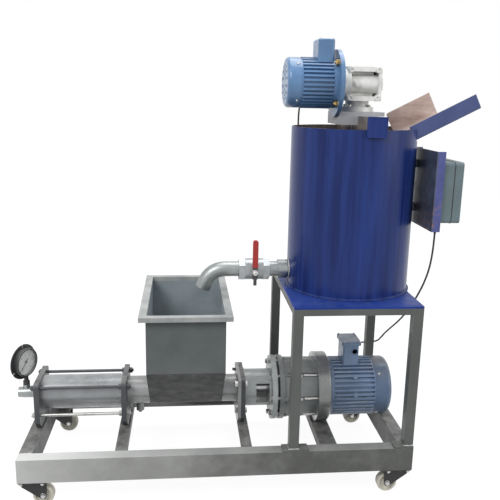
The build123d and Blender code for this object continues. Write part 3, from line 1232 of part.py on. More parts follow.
# ---------------- the whole machine ----------------
def build_nodes():
    nodes = {
        "base_rails": base_rails(),
        "base_cross_members": base_cross_members(),
        "caster_top_plates": caster_top_plates(),
        "pump_plates": pump_plates(),
        "stator_tube": stator_tube(),
        "stator_rubber": stator_rubber(),
        "rotor": rotor(),
        "coupling_rod": coupling_rod(),
        "auger_shaft": auger_shaft(),
        "tie_rods": tie_rods(),
        "suction_tube": suction_tube(),
        "hopper": hopper(),
        "shaft_seal": shaft_seal(),
        "shaft_bearings": shaft_bearings(),
        "bearing_bracket": bearing_bracket(),
        "flange_bolts": flange_bolts(),
        "reducer_housing": reducer_housing(),
        "adapter_ring": adapter_ring(),
        "motor_housing": motor_housing(),
        "motor_fan_cover": motor_fan_cover(),
        "motor_shaft": motor_shaft(),
        "motor_terminal_box": motor_terminal_box(),
        "discharge_tee": discharge_tee(),
        "gauge_case": gauge_case(),
        "gauge_glass": gauge_glass(),
        "gauge_pointer": gauge_pointer(),
        "stand_legs": stand_legs(),
        "stand_top_frame": stand_top_frame(),
        "tank_table": tank_table(),
        "tank_shell": tank_shell(),
        "bridge_bar": bridge_bar(),
        "gearbox_saddle": gearbox_saddle(),
        "loading_chute": loading_chute(),
        "mixer_motor": mixer_motor(),
        "mixer_fan_cover": mixer_fan_cover(),
        "mixer_motor_shaft": mixer_motor_shaft(),
        "mixer_terminal_box": mixer_terminal_box(),
        "worm_gearbox": worm_gearbox(),
        "mixer_shaft": mixer_shaft(),
        "outlet_nipple": outlet_nipple(),
        "valve_body": valve_body(),
        "valve_ball": valve_ball(),
        "valve_lever": valve_lever(),
        "spout": spout(),
        "control_bracket": control_bracket(),
        "control_box": control_box(),
        "control_cover": control_cover(),
        "start_button": push_button(0),
        "stop_button": push_button(-1),
        "cable_glands": cable_glands(),
        "motor_lead": lead(motor_lead_points()),
        "mixer_lead": lead(mixer_lead_points()),
    }
    for place, (sx, sy) in CASTERS.items():
        nodes["caster_fork_" + place] = caster_fork(sx, sy)
        nodes["caster_wheel_" + place] = caster_wheel(sx, sy)
    return nodes


LEADS = ("motor_lead", "mixer_lead")
nodes = build_nodes()
solid_box = Compound(children=[s for name, shape in nodes.items() if name not in LEADS
                               for s in shape.solids()]).bounding_box()
ORIGIN_SHIFT = (-solid_box.center().X, -solid_box.center().Y, -solid_box.min.Z)

os.makedirs("parts", exist_ok=True)
for name, shape in nodes.items():
    export_step(Pos(*ORIGIN_SHIFT) * Compound(children=shape.solids()), f"parts/{name}.step")
print("nodes", len(nodes), "shift", [round(v, 3) for v in ORIGIN_SHIFT])
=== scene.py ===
import bpy
import bmesh
import math
import random
from mathutils import Matrix, Vector


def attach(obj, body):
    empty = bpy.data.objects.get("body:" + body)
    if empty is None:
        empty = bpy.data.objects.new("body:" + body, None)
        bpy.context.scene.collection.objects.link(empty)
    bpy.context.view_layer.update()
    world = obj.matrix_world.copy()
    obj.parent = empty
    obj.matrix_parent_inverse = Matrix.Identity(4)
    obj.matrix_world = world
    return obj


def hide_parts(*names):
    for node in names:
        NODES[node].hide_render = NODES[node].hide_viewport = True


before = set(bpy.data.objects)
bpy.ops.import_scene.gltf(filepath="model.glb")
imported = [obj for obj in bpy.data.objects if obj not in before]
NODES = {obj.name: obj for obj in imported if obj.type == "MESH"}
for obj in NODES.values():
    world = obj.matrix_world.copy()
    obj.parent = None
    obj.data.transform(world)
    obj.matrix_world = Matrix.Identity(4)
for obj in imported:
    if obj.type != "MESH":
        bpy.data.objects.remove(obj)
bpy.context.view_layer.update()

# Sizes and places are millimetres measured from the middle of the base frame at floor level,
# as the part's source has them; spot() turns them into the row frame's metres.
FRAME_SHIFT_X = -64.876
PUMP_Z = 258.0
TANK_X = 422.0
TANK_R = 195.0
TANK_LOW = 618.0
BRIDGE_X = 438.0
SADDLE_TOP = 1174.0
WORM_Y = -50.0
WORM_Z = 1255.5
MIXER_FACE_X = 352.0
MIXER_SHAFT_X = 426.0
OUTLET_Z = 670.0
VALVE_X = 116.0
GRIP_LOW = 686.0
HOPPER_X = -102.0
GAUGE_X = -619.0
GAUGE_Z = 362.0
GAUGE_TURN = math.radians(-28.0)
RAIL_TOP = 160.0
COVER_FACE_X = 722.0
LEAD_R = 3.0


def spot(x, y, z):
    return Vector(((x + FRAME_SHIFT_X) / 1000, y / 1000, z / 1000))


# ---------------- camera ----------------
def make_camera():
    """A 47 mm lens a little left of the tank, at chest height, looking slightly down."""
    yaw, pitch, roll = -0.10176, 0.22816, 0.021295
    ahead = Vector((-math.sin(yaw) * math.cos(pitch), math.cos(yaw) * math.cos(pitch),
                    -math.sin(pitch)))
    right = Vector((math.cos(yaw), math.sin(yaw), 0))
    up = right.cross(ahead)
    right_rolled = math.cos(roll) * right + math.sin(roll) * up
    up_rolled = -math.sin(roll) * right + math.cos(roll) * up
    turn = Matrix((right_rolled, up_rolled, -ahead)).transposed().to_4x4()
    data = bpy.data.cameras.new("camera")
    data.sensor_width = 36.0
    data.lens = 47.34
    data.clip_end = 60.0
    camera = bpy.data.objects.new("camera", data)
    bpy.context.scene.collection.objects.link(camera)
    camera.matrix_world = Matrix.Translation(spot(-106.0, -2046.8, 1209.9)) @ turn
    bpy.context.scene.camera = camera


make_camera()


# ---------------- materials ----------------
class Nodes:
    """A material's node tree, with short calls for the nodes used here."""

    def __init__(self, name):
        self.material = bpy.data.materials.new(name)
        self.material.use_nodes = True
        self.tree = self.material.node_tree
        self.shader = self.tree.nodes["Principled BSDF"]
        self.place = self.tree.nodes.new("ShaderNodeTexCoord").outputs["Object"]

    def link(self, source, target):
        self.tree.links.new(source, target)

    def stretched(self, scale):
        node = self.tree.nodes.new("ShaderNodeMapping")
        node.inputs["Scale"].default_value = scale
        self.link(self.place, node.inputs["Vector"])
        return node.outputs["Vector"]

    def noise(self, scale, detail=4.0, roughness=0.55, vector=None):
        node = self.tree.nodes.new("ShaderNodeTexNoise")
        node.inputs["Scale"].default_value = scale
        node.inputs["Detail"].default_value = detail
        node.inputs["Roughness"].default_value = roughness
        self.link(vector or self.place, node.inputs["Vector"])
        return node.outputs["Fac"]

    def ramp(self, value, low, high, out_low=0.0, out_high=1.0):
        node = self.tree.nodes.new("ShaderNodeMapRange")
        for key, number in (("From Min", low), ("From Max", high), ("To Min", out_low),
                            ("To Max", out_high)):
            node.inputs[key].default_value = number
        self.link(value, node.inputs["Value"])
        return node.outputs["Result"]

    def mix(self, fac, a, b):
        node = self.tree.nodes.new("ShaderNodeMix")
        node.data_type = "RGBA"
        self.link(fac, node.inputs["Factor"])
        for socket, colour in ((node.inputs[6], a), (node.inputs[7], b)):
            if isinstance(colour, tuple):
                socket.default_value = (*colour, 1.0)
            else:
                self.link(colour, socket)
        return node.outputs[2]

    def maths(self, operation, a, b):
        node = self.tree.nodes.new("ShaderNodeMath")
        node.operation = operation
        node.use_clamp = True
        for socket, value in ((node.inputs[0], a), (node.inputs[1], b)):
            if isinstance(value, (int, float)):
                socket.default_value = value
            else:
                self.link(value, socket)
        return node.outputs[0]

    def part_of(self, vector, axis):
        node = self.tree.nodes.new("ShaderNodeSeparateXYZ")
        self.link(vector, node.inputs[0])
        return node.outputs[axis]

    def normal(self):
        return self.tree.nodes.new("ShaderNodeNewGeometry").outputs["Normal"]

    def bump(self, height, strength, distance=0.001):
        node = self.tree.nodes.new("ShaderNodeBump")
        node.inputs["Strength"].default_value = strength
        node.inputs["Distance"].default_value = distance
        self.link(height, node.inputs["Height"])
        self.link(node.outputs["Normal"], self.shader.inputs["Normal"])

    def colour(self, source):
        self.link(source, self.shader.inputs["Base Color"])

    def rough(self, source):
        self.link(source, self.shader.inputs["Roughness"])

    def plain(self, **values):
        for key, value in values.items():
            self.shader.inputs[key.replace("_", " ")].default_value = value


def shade(colour, factor):
    return tuple(min(1.0, c * factor) for c in colour)


def paint(name, colour, rough=0.42, coat=0.25, metallic=0.0, mottle=0.22, dust_and_sheen=0.25,
          dust_and_sheen_colour=(0.42, 0.41, 0.38), orange_peel=0.12, vertical=1.0, shine=0.3):
    """Sprayed paint: cloudy tone, a fine orange-peel bump and a paler tone on faces that look up, which
    is dust on most parts and a painted highlight on some.
    """
    n = Nodes(name)
    cloud = n.noise(9.0, 5.0, 0.6, n.stretched((1.0, 1.0, vertical)))
    base = n.mix(n.ramp(cloud, 0.3, 0.7), shade(colour, 1 - mottle), shade(colour, 1 + mottle))
    specks = n.ramp(n.noise(420.0, 2.0), 0.66, 0.74, 0.0, 0.35)
    base = n.mix(specks, base, shade(colour, 1.8))
    # Faces that look up take the paler colour: dust, and where that colour is the paint's own hue made
    # lighter, a painted highlight.
    up = n.ramp(n.part_of(n.normal(), "Z"), 0.55, 1.0, 0.0, dust_and_sheen)
    patches = n.ramp(n.noise(26.0, 6.0, 0.65), 0.35, 0.65)
    n.colour(n.mix(n.maths("MULTIPLY", up, patches), base, dust_and_sheen_colour))
    n.rough(n.ramp(n.noise(31.0, 4.0), 0.3, 0.7, rough - 0.08, rough + 0.12))
    n.plain(Metallic=metallic, Coat_Weight=coat, Coat_Roughness=0.12, Specular_IOR_Level=shine)
    n.bump(n.noise(900.0, 2.0), orange_peel, 0.0004)
    return n.material


def metal(name, colour, rough=0.3, grain=(1.0, 60.0, 60.0), tarnish=0.25, metallic=1.0):
    """Bare metal with fine machining lines across one axis and slight tarnish."""
    n = Nodes(name)
    lines = n.noise(90.0, 3.0, 0.5, n.stretched(grain))
    spots = n.noise(22.0, 6.0, 0.65)
    clean = n.mix(n.ramp(lines, 0.3, 0.7), shade(colour, 0.88), shade(colour, 1.1))
    n.colour(n.mix(n.ramp(spots, 0.45, 0.75, 0.0, tarnish), clean, shade(colour, 0.42)))
    n.rough(n.ramp(spots, 0.3, 0.7, rough - 0.06, rough + 0.14))
    n.plain(Metallic=metallic)
    n.bump(lines, 0.12, 0.0003)
    return n.material


def cast_metal(name, colour, rough=0.5, metallic=0.7, pit=0.5):
    """Sand-cast skin: pitted, with darker hollows."""
    n = Nodes(name)
    grain = n.noise(520.0, 3.0, 0.7)
    cloud = n.noise(34.0, 5.0)
    base = n.mix(n.ramp(cloud, 0.3, 0.7), shade(colour, 0.82), shade(colour, 1.12))
    n.colour(n.mix(n.ramp(grain, 0.56, 0.74, 0.0, 0.5), base, shade(colour, 0.5)))
    n.rough(n.ramp(grain, 0.2, 0.8, rough - 0.08, rough + 0.15))
    n.plain(Metallic=metallic)
    n.bump(grain, pit, 0.0005)
    return n.material


def plastic(name, colour, rough=0.45, grain=0.25, mottle=0.1):
    n = Nodes(name)
    cloud = n.noise(18.0, 5.0)
    n.colour(n.mix(n.ramp(cloud, 0.3, 0.7), shade(colour, 1 - mottle), shade(colour, 1 + mottle)))
    n.rough(n.ramp(n.noise(60.0, 3.0), 0.3, 0.7, rough - 0.06, rough + 0.1))
    n.bump(n.noise(1100.0, 2.0), grain, 0.0003)
    return n.material


def rubber(name, colour=(0.022, 0.022, 0.024), rough=0.6):
    return plastic(name, colour, rough, 0.35, 0.25)


def base_paint():
    """The rails' dark paint, turning pale grey in blotches towards the outlet end."""
    n = Nodes("base_paint")
    dark = (0.082, 0.086, 0.080)
    cloud = n.noise(14.0, 6.0, 0.65)
    base = n.mix(n.ramp(cloud, 0.3, 0.7), shade(dark, 0.78), shade(dark, 1.22))
    along = n.ramp(n.part_of(n.place, "X"), -0.66, 0.16, 0.80, 0.0)
    blotch = n.ramp(n.noise(7.0, 7.0, 0.7), 0.25, 0.75, -0.14, 0.14)
    skin = n.maths("ADD", along, blotch)
    up = n.ramp(n.part_of(n.normal(), "Z"), 0.4, 1.0, 0.0, 0.28)
    n.colour(n.mix(n.maths("ADD", skin, up), base, (0.60, 0.61, 0.60)))
    n.rough(n.ramp(cloud, 0.3, 0.7, 0.45, 0.7))
    n.plain(Coat_Weight=0.08)
    n.bump(n.noise(240.0, 5.0, 0.7), 0.35, 0.0008)
    return n.material


def from_tank_axis(n):
    """Distance of a point from the tank's upright axis, in metres."""
    flat = n.tree.nodes.new("ShaderNodeCombineXYZ")
    across = n.tree.nodes.new("ShaderNodeMath")
    across.operation = "SUBTRACT"
    across.inputs[1].default_value = (TANK_X + FRAME_SHIFT_X) / 1000
    n.link(n.part_of(n.place, "X"), across.inputs[0])
    n.link(across.outputs[0], flat.inputs[0])
    n.link(n.part_of(n.place, "Y"), flat.inputs[1])
    reach = n.tree.nodes.new("ShaderNodeVectorMath")
    reach.operation = "LENGTH"
    n.link(flat.outputs[0], reach.inputs[0])
    return reach.outputs["Value"]


def tank_paint():
    """Blue enamel with broad upright bands of lighter blue, part uneven tone and part painted highlight,
    and thin paler upright streaks painted as highlights; dulled steel inside.
    """
    n = Nodes("tank_paint")
    blue = (0.010, 0.026, 0.150)
    upright_tone_and_sheen = n.noise(5.0, 5.0, 0.6, n.stretched((6.0, 6.0, 0.35)))
    fine = n.noise(34.0, 4.0, 0.6, n.stretched((4.0, 4.0, 0.2)))
    # Broad upright bands of lighter blue: uneven tone and painted highlight.
    base = n.mix(n.ramp(upright_tone_and_sheen, 0.35, 0.7), shade(blue, 0.72), (0.018, 0.044, 0.205))
    # Thin paler upright streaks: painted highlights.
    base = n.mix(n.ramp(fine, 0.58, 0.74, 0.0, 0.16), base, (0.07, 0.09, 0.26))
    dull = n.mix(n.ramp(n.noise(16.0, 6.0), 0.3, 0.7), (0.10, 0.085, 0.075), (0.26, 0.22, 0.20))
    inside = n.ramp(from_tank_axis(n), (TANK_R - 3.0) / 1000, (TANK_R - 2.0) / 1000, 1.0, 0.0)
    n.colour(n.mix(inside, base, dull))
    n.rough(n.ramp(upright_tone_and_sheen, 0.3, 0.7, 0.22, 0.34))
    n.plain(Specular_IOR_Level=0.22)
    n.bump(n.noise(22.0, 3.0, 0.5, n.stretched((3.0, 3.0, 0.4))), 0.10, 0.002)
    return n.material


def looks_inward(n, axis, middle):
    """One on walls that face the hollow of a box whose middle is at the given place."""
    facing, place = n.part_of(n.normal(), axis), n.part_of(n.place, axis)
    low = n.maths("MULTIPLY", n.ramp(facing, 0.5, 0.6), n.ramp(place, middle - 0.02, middle, 1, 0))
    high = n.maths("MULTIPLY", n.ramp(facing, -0.6, -0.5, 1, 0), n.ramp(place, middle, middle + 0.02))
    return n.maths("MAXIMUM", low, high)


def hopper_paint():
    """Grey-green shell: a paler rim and inside, and slopes that look down painted near-black as shade."""
    n = Nodes("hopper_paint")
    cloud = n.noise(9.0, 5.0, 0.6)
    side = n.mix(n.ramp(cloud, 0.3, 0.7), (0.094, 0.108, 0.110), (0.128, 0.140, 0.140))
    # Slopes that look down get a near-black colour: painted shade.
    painted_shade_below = n.mix(n.ramp(cloud, 0.3, 0.7), (0.016, 0.018, 0.018), (0.026, 0.028, 0.028))
    pale = n.mix(n.ramp(n.noise(18.0, 6.0), 0.3, 0.7), (0.25, 0.265, 0.27), (0.42, 0.43, 0.42))
    facing = n.part_of(n.normal(), "Z")
    base = n.mix(n.ramp(facing, -0.32, -0.22, 1.0, 0.0), side, painted_shade_below)
    lining = n.mix(n.ramp(cloud, 0.3, 0.7), (0.20, 0.24, 0.27), (0.32, 0.36, 0.38))
    middle = (HOPPER_X + FRAME_SHIFT_X) / 1000
    inward = n.maths("MAXIMUM", looks_inward(n, "Y", 0.0), looks_inward(n, "X", middle))
    base = n.mix(inward, base, lining)
    high = n.ramp(n.part_of(n.place, "Z"), 0.570, 0.572)
    n.colour(n.mix(n.maths("MAXIMUM", high, n.ramp(facing, 0.25, 0.4)), base, pale))
    n.rough(n.ramp(n.noise(31.0, 4.0), 0.3, 0.7, 0.38, 0.58))
    n.plain(Specular_IOR_Level=0.2)
    n.bump(n.noise(700.0, 3.0), 0.15, 0.0004)
    return n.material


def split_by_height(name, height, low_colour, high_colour, low_metallic=0.0):
    """One colour below a height and another above it, with the same fine wear."""
    n = Nodes(name)
    cloud = n.noise(60.0, 5.0, 0.6)
    part = n.ramp(n.part_of(n.place, "Z"), (height - 0.6) / 1000, (height + 0.6) / 1000)
    wear = n.ramp(cloud, 0.3, 0.7)
    low = n.mix(wear, shade(low_colour, 0.8), shade(low_colour, 1.2))
    high = n.mix(wear, shade(high_colour, 0.85), shade(high_colour, 1.15))
    n.colour(n.mix(part, low, high))
    n.link(n.ramp(part, 0.0, 1.0, low_metallic, 0.0), n.shader.inputs["Metallic"])
    n.rough(n.ramp(cloud, 0.3, 0.7, 0.32, 0.48))
    n.bump(n.noise(800.0, 3.0), 0.2, 0.0003)
    return n.material


def rod_finish():
    """The upper tie rods are painted with the stator; the lower ones are bare zinc."""
    n = Nodes("rod_finish")
    spots = n.noise(40.0, 6.0, 0.65)
    upper = n.ramp(n.part_of(n.place, "Z"), (PUMP_Z - 1) / 1000, (PUMP_Z + 1) / 1000)
    wear = n.ramp(spots, 0.3, 0.7)
    bare = n.mix(wear, (0.36, 0.36, 0.35), (0.55, 0.55, 0.53))
    painted = n.mix(wear, (0.052, 0.055, 0.062), (0.080, 0.084, 0.092))
    n.colour(n.mix(upper, bare, painted))
    n.link(n.ramp(upper, 0.0, 1.0, 0.85, 0.0), n.shader.inputs["Metallic"])
    n.rough(n.ramp(spots, 0.3, 0.7, 0.26, 0.44))
    n.bump(n.noise(900.0, 2.0), 0.1, 0.0003)
    return n.material


def chute_paint():
    """Blue outside; the inner faces are worn to brown steel by what slides down them."""
    n = Nodes("chute_paint")
    cloud = n.noise(12.0, 5.0)
    blue = n.mix(n.ramp(cloud, 0.3, 0.7), (0.022, 0.040, 0.15), (0.045, 0.070, 0.20))
    worn = n.mix(n.ramp(n.noise(9.0, 6.0, 0.65, n.stretched((1.0, 3.0, 3.0))), 0.3, 0.7),
                 (0.30, 0.205, 0.175), (0.60, 0.50, 0.46))
    facing, y = n.normal(), n.part_of(n.place, "Y")
    side = n.part_of(facing, "Y")
    floor = n.ramp(n.part_of(facing, "Z"), 0.5, 0.6)
    near = n.maths("MULTIPLY", n.ramp(side, 0.5, 0.6), n.ramp(y, -0.02, -0.01, 1.0, 0.0))
    far = n.maths("MULTIPLY", n.ramp(side, -0.6, -0.5, 1.0, 0.0), n.ramp(y, 0.01, 0.02))
    inner = n.maths("MAXIMUM", floor, n.maths("MAXIMUM", near, far))
    n.colour(n.mix(inner, blue, worn))
    n.rough(n.ramp(cloud, 0.3, 0.7, 0.34, 0.5))
    n.plain(Coat_Weight=0.2, Coat_Roughness=0.2)
    n.bump(n.noise(300.0, 4.0), 0.2, 0.0005)
    return n.material


def bracket_paint():
    """Blue plate with its broad side painted near-black as shade and its folded lips left blue, with rust
    at the foot.
    """
    n = Nodes("bracket_paint")
    lip = n.ramp(n.part_of(n.place, "X"), (633.5 + FRAME_SHIFT_X) / 1000,
                 (636.5 + FRAME_SHIFT_X) / 1000)
    cloud = n.noise(24.0, 6.0)
    # The broad side's near-black is painted shade; the plate's own blue shows on the lips.
    dark = n.mix(n.ramp(cloud, 0.3, 0.7), (0.036, 0.045, 0.072), (0.075, 0.092, 0.145))
    blue = n.mix(n.ramp(cloud, 0.3, 0.7), (0.03, 0.045, 0.19), (0.07, 0.085, 0.28))
    base = n.mix(lip, dark, blue)
    low = n.ramp(n.part_of(n.place, "Z"), 0.83, 0.93, 1.0, 0.0)
    rust = n.maths("MULTIPLY", low, n.ramp(n.noise(90.0, 5.0), 0.52, 0.62, 0.0, 0.8))
    n.colour(n.mix(rust, base, (0.30, 0.13, 0.06)))
    n.rough(n.ramp(cloud, 0.3, 0.7, 0.32, 0.5))
    n.plain(Coat_Weight=0.3)
    n.bump(n.noise(500.0, 3.0), 0.2, 0.0005)
    return n.material


def glass():
    """Flat clear pane, thin enough to show the dial with little tint."""
    n = Nodes("gauge_glass_clear")
    n.colour(n.mix(n.ramp(n.noise(40.0), 0.3, 0.7), (0.93, 0.95, 0.95), (0.98, 0.99, 0.99)))
    n.plain(Alpha=0.12, IOR=1.45, Roughness=0.03)
    return n.material


def weld_metal():
    """Bright, rippled weld with spatter."""
    n = Nodes("weld_metal")
    ripple = n.noise(260.0, 5.0, 0.7)
    n.colour(n.mix(n.ramp(ripple, 0.35, 0.65), (0.20, 0.20, 0.21), (0.78, 0.78, 0.76)))
    n.rough(n.ramp(ripple, 0.3, 0.7, 0.3, 0.55))
    n.plain(Metallic=0.75)
    n.bump(ripple, 0.8, 0.001)
    return n.material


MATERIALS = {
    "base": base_paint(),
    "cross": paint("cross_member_paint", (0.085, 0.088, 0.086), 0.5, 0.1, dust_and_sheen=0.55,
                   dust_and_sheen_colour=(0.34, 0.34, 0.32)),
    "stand": paint("stand_paint", (0.098, 0.105, 0.100), 0.45, 0.1, dust_and_sheen=0.3, vertical=0.3),
    "caster_fork": paint("caster_fork_paint", (0.018, 0.018, 0.019), 0.4, 0.3),
    "caster_nylon": plastic("caster_nylon", (0.62, 0.60, 0.52), 0.5, 0.2, 0.12),
    "plate": paint("plate_paint", (0.070, 0.075, 0.082), 0.42, 0.15, dust_and_sheen=0.45),
    "stator": paint("stator_silver", (0.25, 0.26, 0.27), 0.30, 0.25, metallic=0.45, dust_and_sheen=0.35,
                    dust_and_sheen_colour=(0.50, 0.50, 0.50)),
    "rubber": rubber("stator_elastomer"),
    "steel": metal("machined_steel", (0.55, 0.55, 0.56), 0.26),
    "zinc": metal("zinc_plate", (0.52, 0.52, 0.51), 0.28, tarnish=0.15),
    "rods": rod_finish(),
    "neck": paint("neck_paint", (0.33, 0.335, 0.34), 0.34, 0.2, metallic=0.3, dust_and_sheen=0.5),
    "lantern": paint("lantern_paint", (0.36, 0.385, 0.39), 0.36, 0.2, metallic=0.2, dust_and_sheen=0.45),
    "hopper": hopper_paint(),
    "drive": paint("drive_paint", (0.185, 0.198, 0.200), 0.38, 0.25, metallic=0.2, dust_and_sheen=0.4),
    "ring": paint("ring_satin", (0.25, 0.26, 0.26), 0.28, 0.4, metallic=0.4, dust_and_sheen=0.3),
    # The motor's pale blue-grey on faces that look up is dust with a painted highlight.
    "motor": paint("motor_blue", (0.150, 0.220, 0.35), 0.36, 0.4, dust_and_sheen=0.9,
                   dust_and_sheen_colour=(0.42, 0.46, 0.50)),
    "motor_cover": paint("motor_cover_blue", (0.105, 0.155, 0.245), 0.36, 0.35, dust_and_sheen=0.8,
                         dust_and_sheen_colour=(0.24, 0.23, 0.22)),
    # The mixer motor's pale blue on faces that look up is a painted highlight.
    "mixer": paint("mixer_blue", (0.098, 0.200, 0.37), 0.32, 0.45, dust_and_sheen=0.4,
                   dust_and_sheen_colour=(0.35, 0.40, 0.48)),
    "gauge_case": paint("gauge_case_black", (0.042, 0.043, 0.046), 0.4, 0.2),
    "tank": tank_paint(),
    # The table's lighter blue on faces that look up is a painted highlight.
    "table": paint("table_blue", (0.012, 0.040, 0.235), 0.40, 0.0, dust_and_sheen=0.25,
                   dust_and_sheen_colour=(0.10, 0.13, 0.26), shine=0.2),
    "chute": chute_paint(),
    "bracket": bracket_paint(),
    "saddle": paint("saddle_grey", (0.33, 0.34, 0.36), 0.42, 0.15, dust_and_sheen=0.3),
    "aluminium": cast_metal("cast_aluminium", (0.74, 0.74, 0.72), 0.42, 0.15, 0.45),
    "pipe": metal("pipe_steel", (0.34, 0.36, 0.36), 0.32, tarnish=0.45),
    "valve": cast_metal("valve_steel", (0.37, 0.39, 0.40), 0.32, 0.8, 0.25),
    "chrome": metal("ball_chrome", (0.8, 0.8, 0.8), 0.12, tarnish=0.05),
    "lever": split_by_height("lever_dipped", GRIP_LOW, (0.07, 0.07, 0.075), (0.36, 0.024, 0.022),
                             0.6),
    "enclosure": plastic("enclosure_grey", (0.110, 0.155, 0.172), 0.42, 0.3, 0.1),
    "green": plastic("button_green", (0.02, 0.26, 0.07), 0.3, 0.1),
    "red": plastic("button_red", (0.50, 0.025, 0.02), 0.3, 0.1),
    "black": rubber("gland_black", (0.02, 0.02, 0.021), 0.5),
    "lead": rubber("lead_black", (0.03, 0.03, 0.034), 0.5),
    "pointer": plastic("pointer_black", (0.02, 0.02, 0.02), 0.4, 0.1),
    "dial": plastic("dial_white", (0.80, 0.81, 0.81), 0.5, 0.05, 0.03),
    "brass": metal("brass", (0.55, 0.40, 0.18), 0.32, tarnish=0.3),
    "weld": weld_metal(),
    "glass": glass(),
}

NODE_MATERIALS = {
    "base": ["base_rails"],
    "cross": ["base_cross_members"],
    "stand": ["stand_legs", "stand_top_frame"],
    "caster_fork": ["caster_top_plates"] + [n for n in NODES if n.startswith("caster_fork")],
    "caster_nylon": [n for n in NODES if n.startswith("caster_wheel")],
    "plate": ["pump_plates"],
    "stator": ["stator_tube"],
    "rubber": ["stator_rubber"],
    "steel": ["rotor", "coupling_rod", "auger_shaft", "shaft_seal", "shaft_bearings",
              "motor_shaft", "mixer_motor_shaft", "mixer_shaft"],
    "zinc": ["flange_bolts"],
    "rods": ["tie_rods"],
    "neck": ["suction_tube"],
    "hopper": ["hopper"],
    "lantern": ["bearing_bracket"],
    "drive": ["reducer_housing"],
    "ring": ["adapter_ring"],
    "motor": ["motor_housing", "motor_terminal_box"],
    "motor_cover": ["motor_fan_cover"],
    "mixer": ["mixer_motor", "mixer_fan_cover", "mixer_terminal_box"],
    "gauge_case": ["gauge_case"],
    "glass": ["gauge_glass"],
    "pointer": ["gauge_pointer"],
    "tank": ["tank_shell", "bridge_bar"],
    "table": ["tank_table"],
    "chute": ["loading_chute"],
    "bracket": ["control_bracket"],
    "saddle": ["gearbox_saddle"],
    "aluminium": ["worm_gearbox"],
    "pipe": ["discharge_tee", "outlet_nipple", "spout"],
    "valve": ["valve_body"],
    "chrome": ["valve_ball"],
    "lever": ["valve_lever"],
    "enclosure": ["control_box", "control_cover"],
    "green": ["start_button"],
    "red": ["stop_button"],
    "black": ["cable_glands"],
    "lead": ["motor_lead", "mixer_lead"],
}

for key, names in NODE_MATERIALS.items():
    for name in names:
        slots = NODES[name].data.materials
        slots.clear()
        slots.append(MATERIALS[key])


# ---------------- leads ----------------
MOTOR_LEAD = [
    (671, -102, 850), (671, -102, 800), (670, -100, 742), (666, -94, 690), (656, -84, 640),
    (644, -66, 592), (633, -38, 546), (625, -2, 502), (620, 46, 462), (617, 100, 423),
    (616, 152, 386), (618, 196, 353), (618, 235, 325), (605, 259, 312), (581, 272, 306),
    (548, 272, 304), (521, 256, 306), (500, 224, 312), (488, 184, 325), (480, 146, 344),
    (470, 110, 370), (455.5, 76, 395), (455.5, 36, 395),
]
MIXER_LEAD = [
    (304.5, -4, 1350.5), (304.5, 40, 1350.5), (303, 84, 1334), (295, 120, 1300),
    (286, 152, 1258), (280, 178, 1212), (278, 196, 1160), (280, 206, 1108), (292, 212, 1062),
    (320, 222, 1026), (362, 230, 998), (416, 232, 976), (470, 226, 958), (520, 212, 940),
    (566, 190, 926), (606, 160, 914), (638, 126, 906), (660, 90, 901), (671, 50, 900),
    (671, 16, 900),
]


def make_lead(name, node, points):
    """A lead on one smooth line through its route, in place of its CAD tube."""
    curve = bpy.data.curves.new(name, "CURVE")
    curve.dimensions = "3D"
    spline = curve.splines.new("NURBS")
    spline.points.add(len(points) - 1)
    for point, place in zip(spline.points, points):
        point.co = (*spot(*place), 1.0)
    spline.order_u = 3
    spline.use_endpoint_u = True
    spline.resolution_u = 8
    curve.bevel_depth = LEAD_R / 1000
    curve.bevel_resolution = 4
    curve.use_fill_caps = True
    lead = bpy.data.objects.new(name, curve)
    bpy.context.scene.collection.objects.link(lead)
    curve.materials.append(MATERIALS["lead"])
    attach(lead, "machine")
    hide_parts(node)


make_lead("motor_lead_line", "motor_lead", MOTOR_LEAD)
make_lead("mixer_lead_line", "mixer_lead", MIXER_LEAD)


# ---------------- shapes for the small pieces ----------------
def lathe(mesh, profile, place, direction=(0, 0, 1), sides=32, closed=False):
    """Adds a turned shape; profile is (radius, height) pairs in millimetres along direction."""
    turn = Vector(direction).to_track_quat("Z", "Y").to_matrix().to_4x4()
    turn = Matrix.Translation(spot(*place)) @ turn
    rings = []
    for radius, height in profile:
        ring = []
        for i in range(sides):
            angle = 2 * math.pi * (i + 0.5) / sides
            point = Vector((radius * math.cos(angle), radius * math.sin(angle), height)) / 1000
            ring.append(mesh.verts.new(turn @ point))
        rings.append(ring)
    pairs = list(zip(rings, rings[1:]))
    if closed:
        pairs.append((rings[-1], rings[0]))
    for low, high in pairs:
        for i in range(sides):
            j = (i + 1) % sides
            mesh.faces.new((low[i], low[j], high[j], high[i]))
    if not closed:
        mesh.faces.new(rings[0][::-1])
        mesh.faces.new(rings[-1])


def hexagon(mesh, place, direction, flats, height, washer=True, stud=0.0):
    """Adds a chamfered hexagon head or nut, its washer and the stud end that shows past it."""
    base = 0.0
    if washer:
        lathe(mesh, [(flats * 0.62, 0), (flats * 0.62, 1.2), (flats * 0.58, 1.6)], place,
              direction)
        base = 1.6
    corner = flats / math.sqrt(3)
    lathe(mesh, [(corner * 0.93, base), (corner, base + 0.8), (corner, base + height - 1.2),
                 (corner * 0.88, base + height)], place, direction, 6)
    if stud:
        lathe(mesh, [(stud, base + height - 1), (stud, base + height + 2.6),
                     (stud * 0.7, base + height + 3.6)], place, direction, 20)


def cap_screw(mesh, place, direction, radius, height=3.0):
    """Adds a round-headed screw with a recess."""
    lathe(mesh, [(radius, 0), (radius, height * 0.45), (radius * 0.8, height * 0.85),
                 (radius * 0.45, height), (radius * 0.42, height * 0.55),
                 (radius * 0.1, height * 0.5)], place, direction, 20)


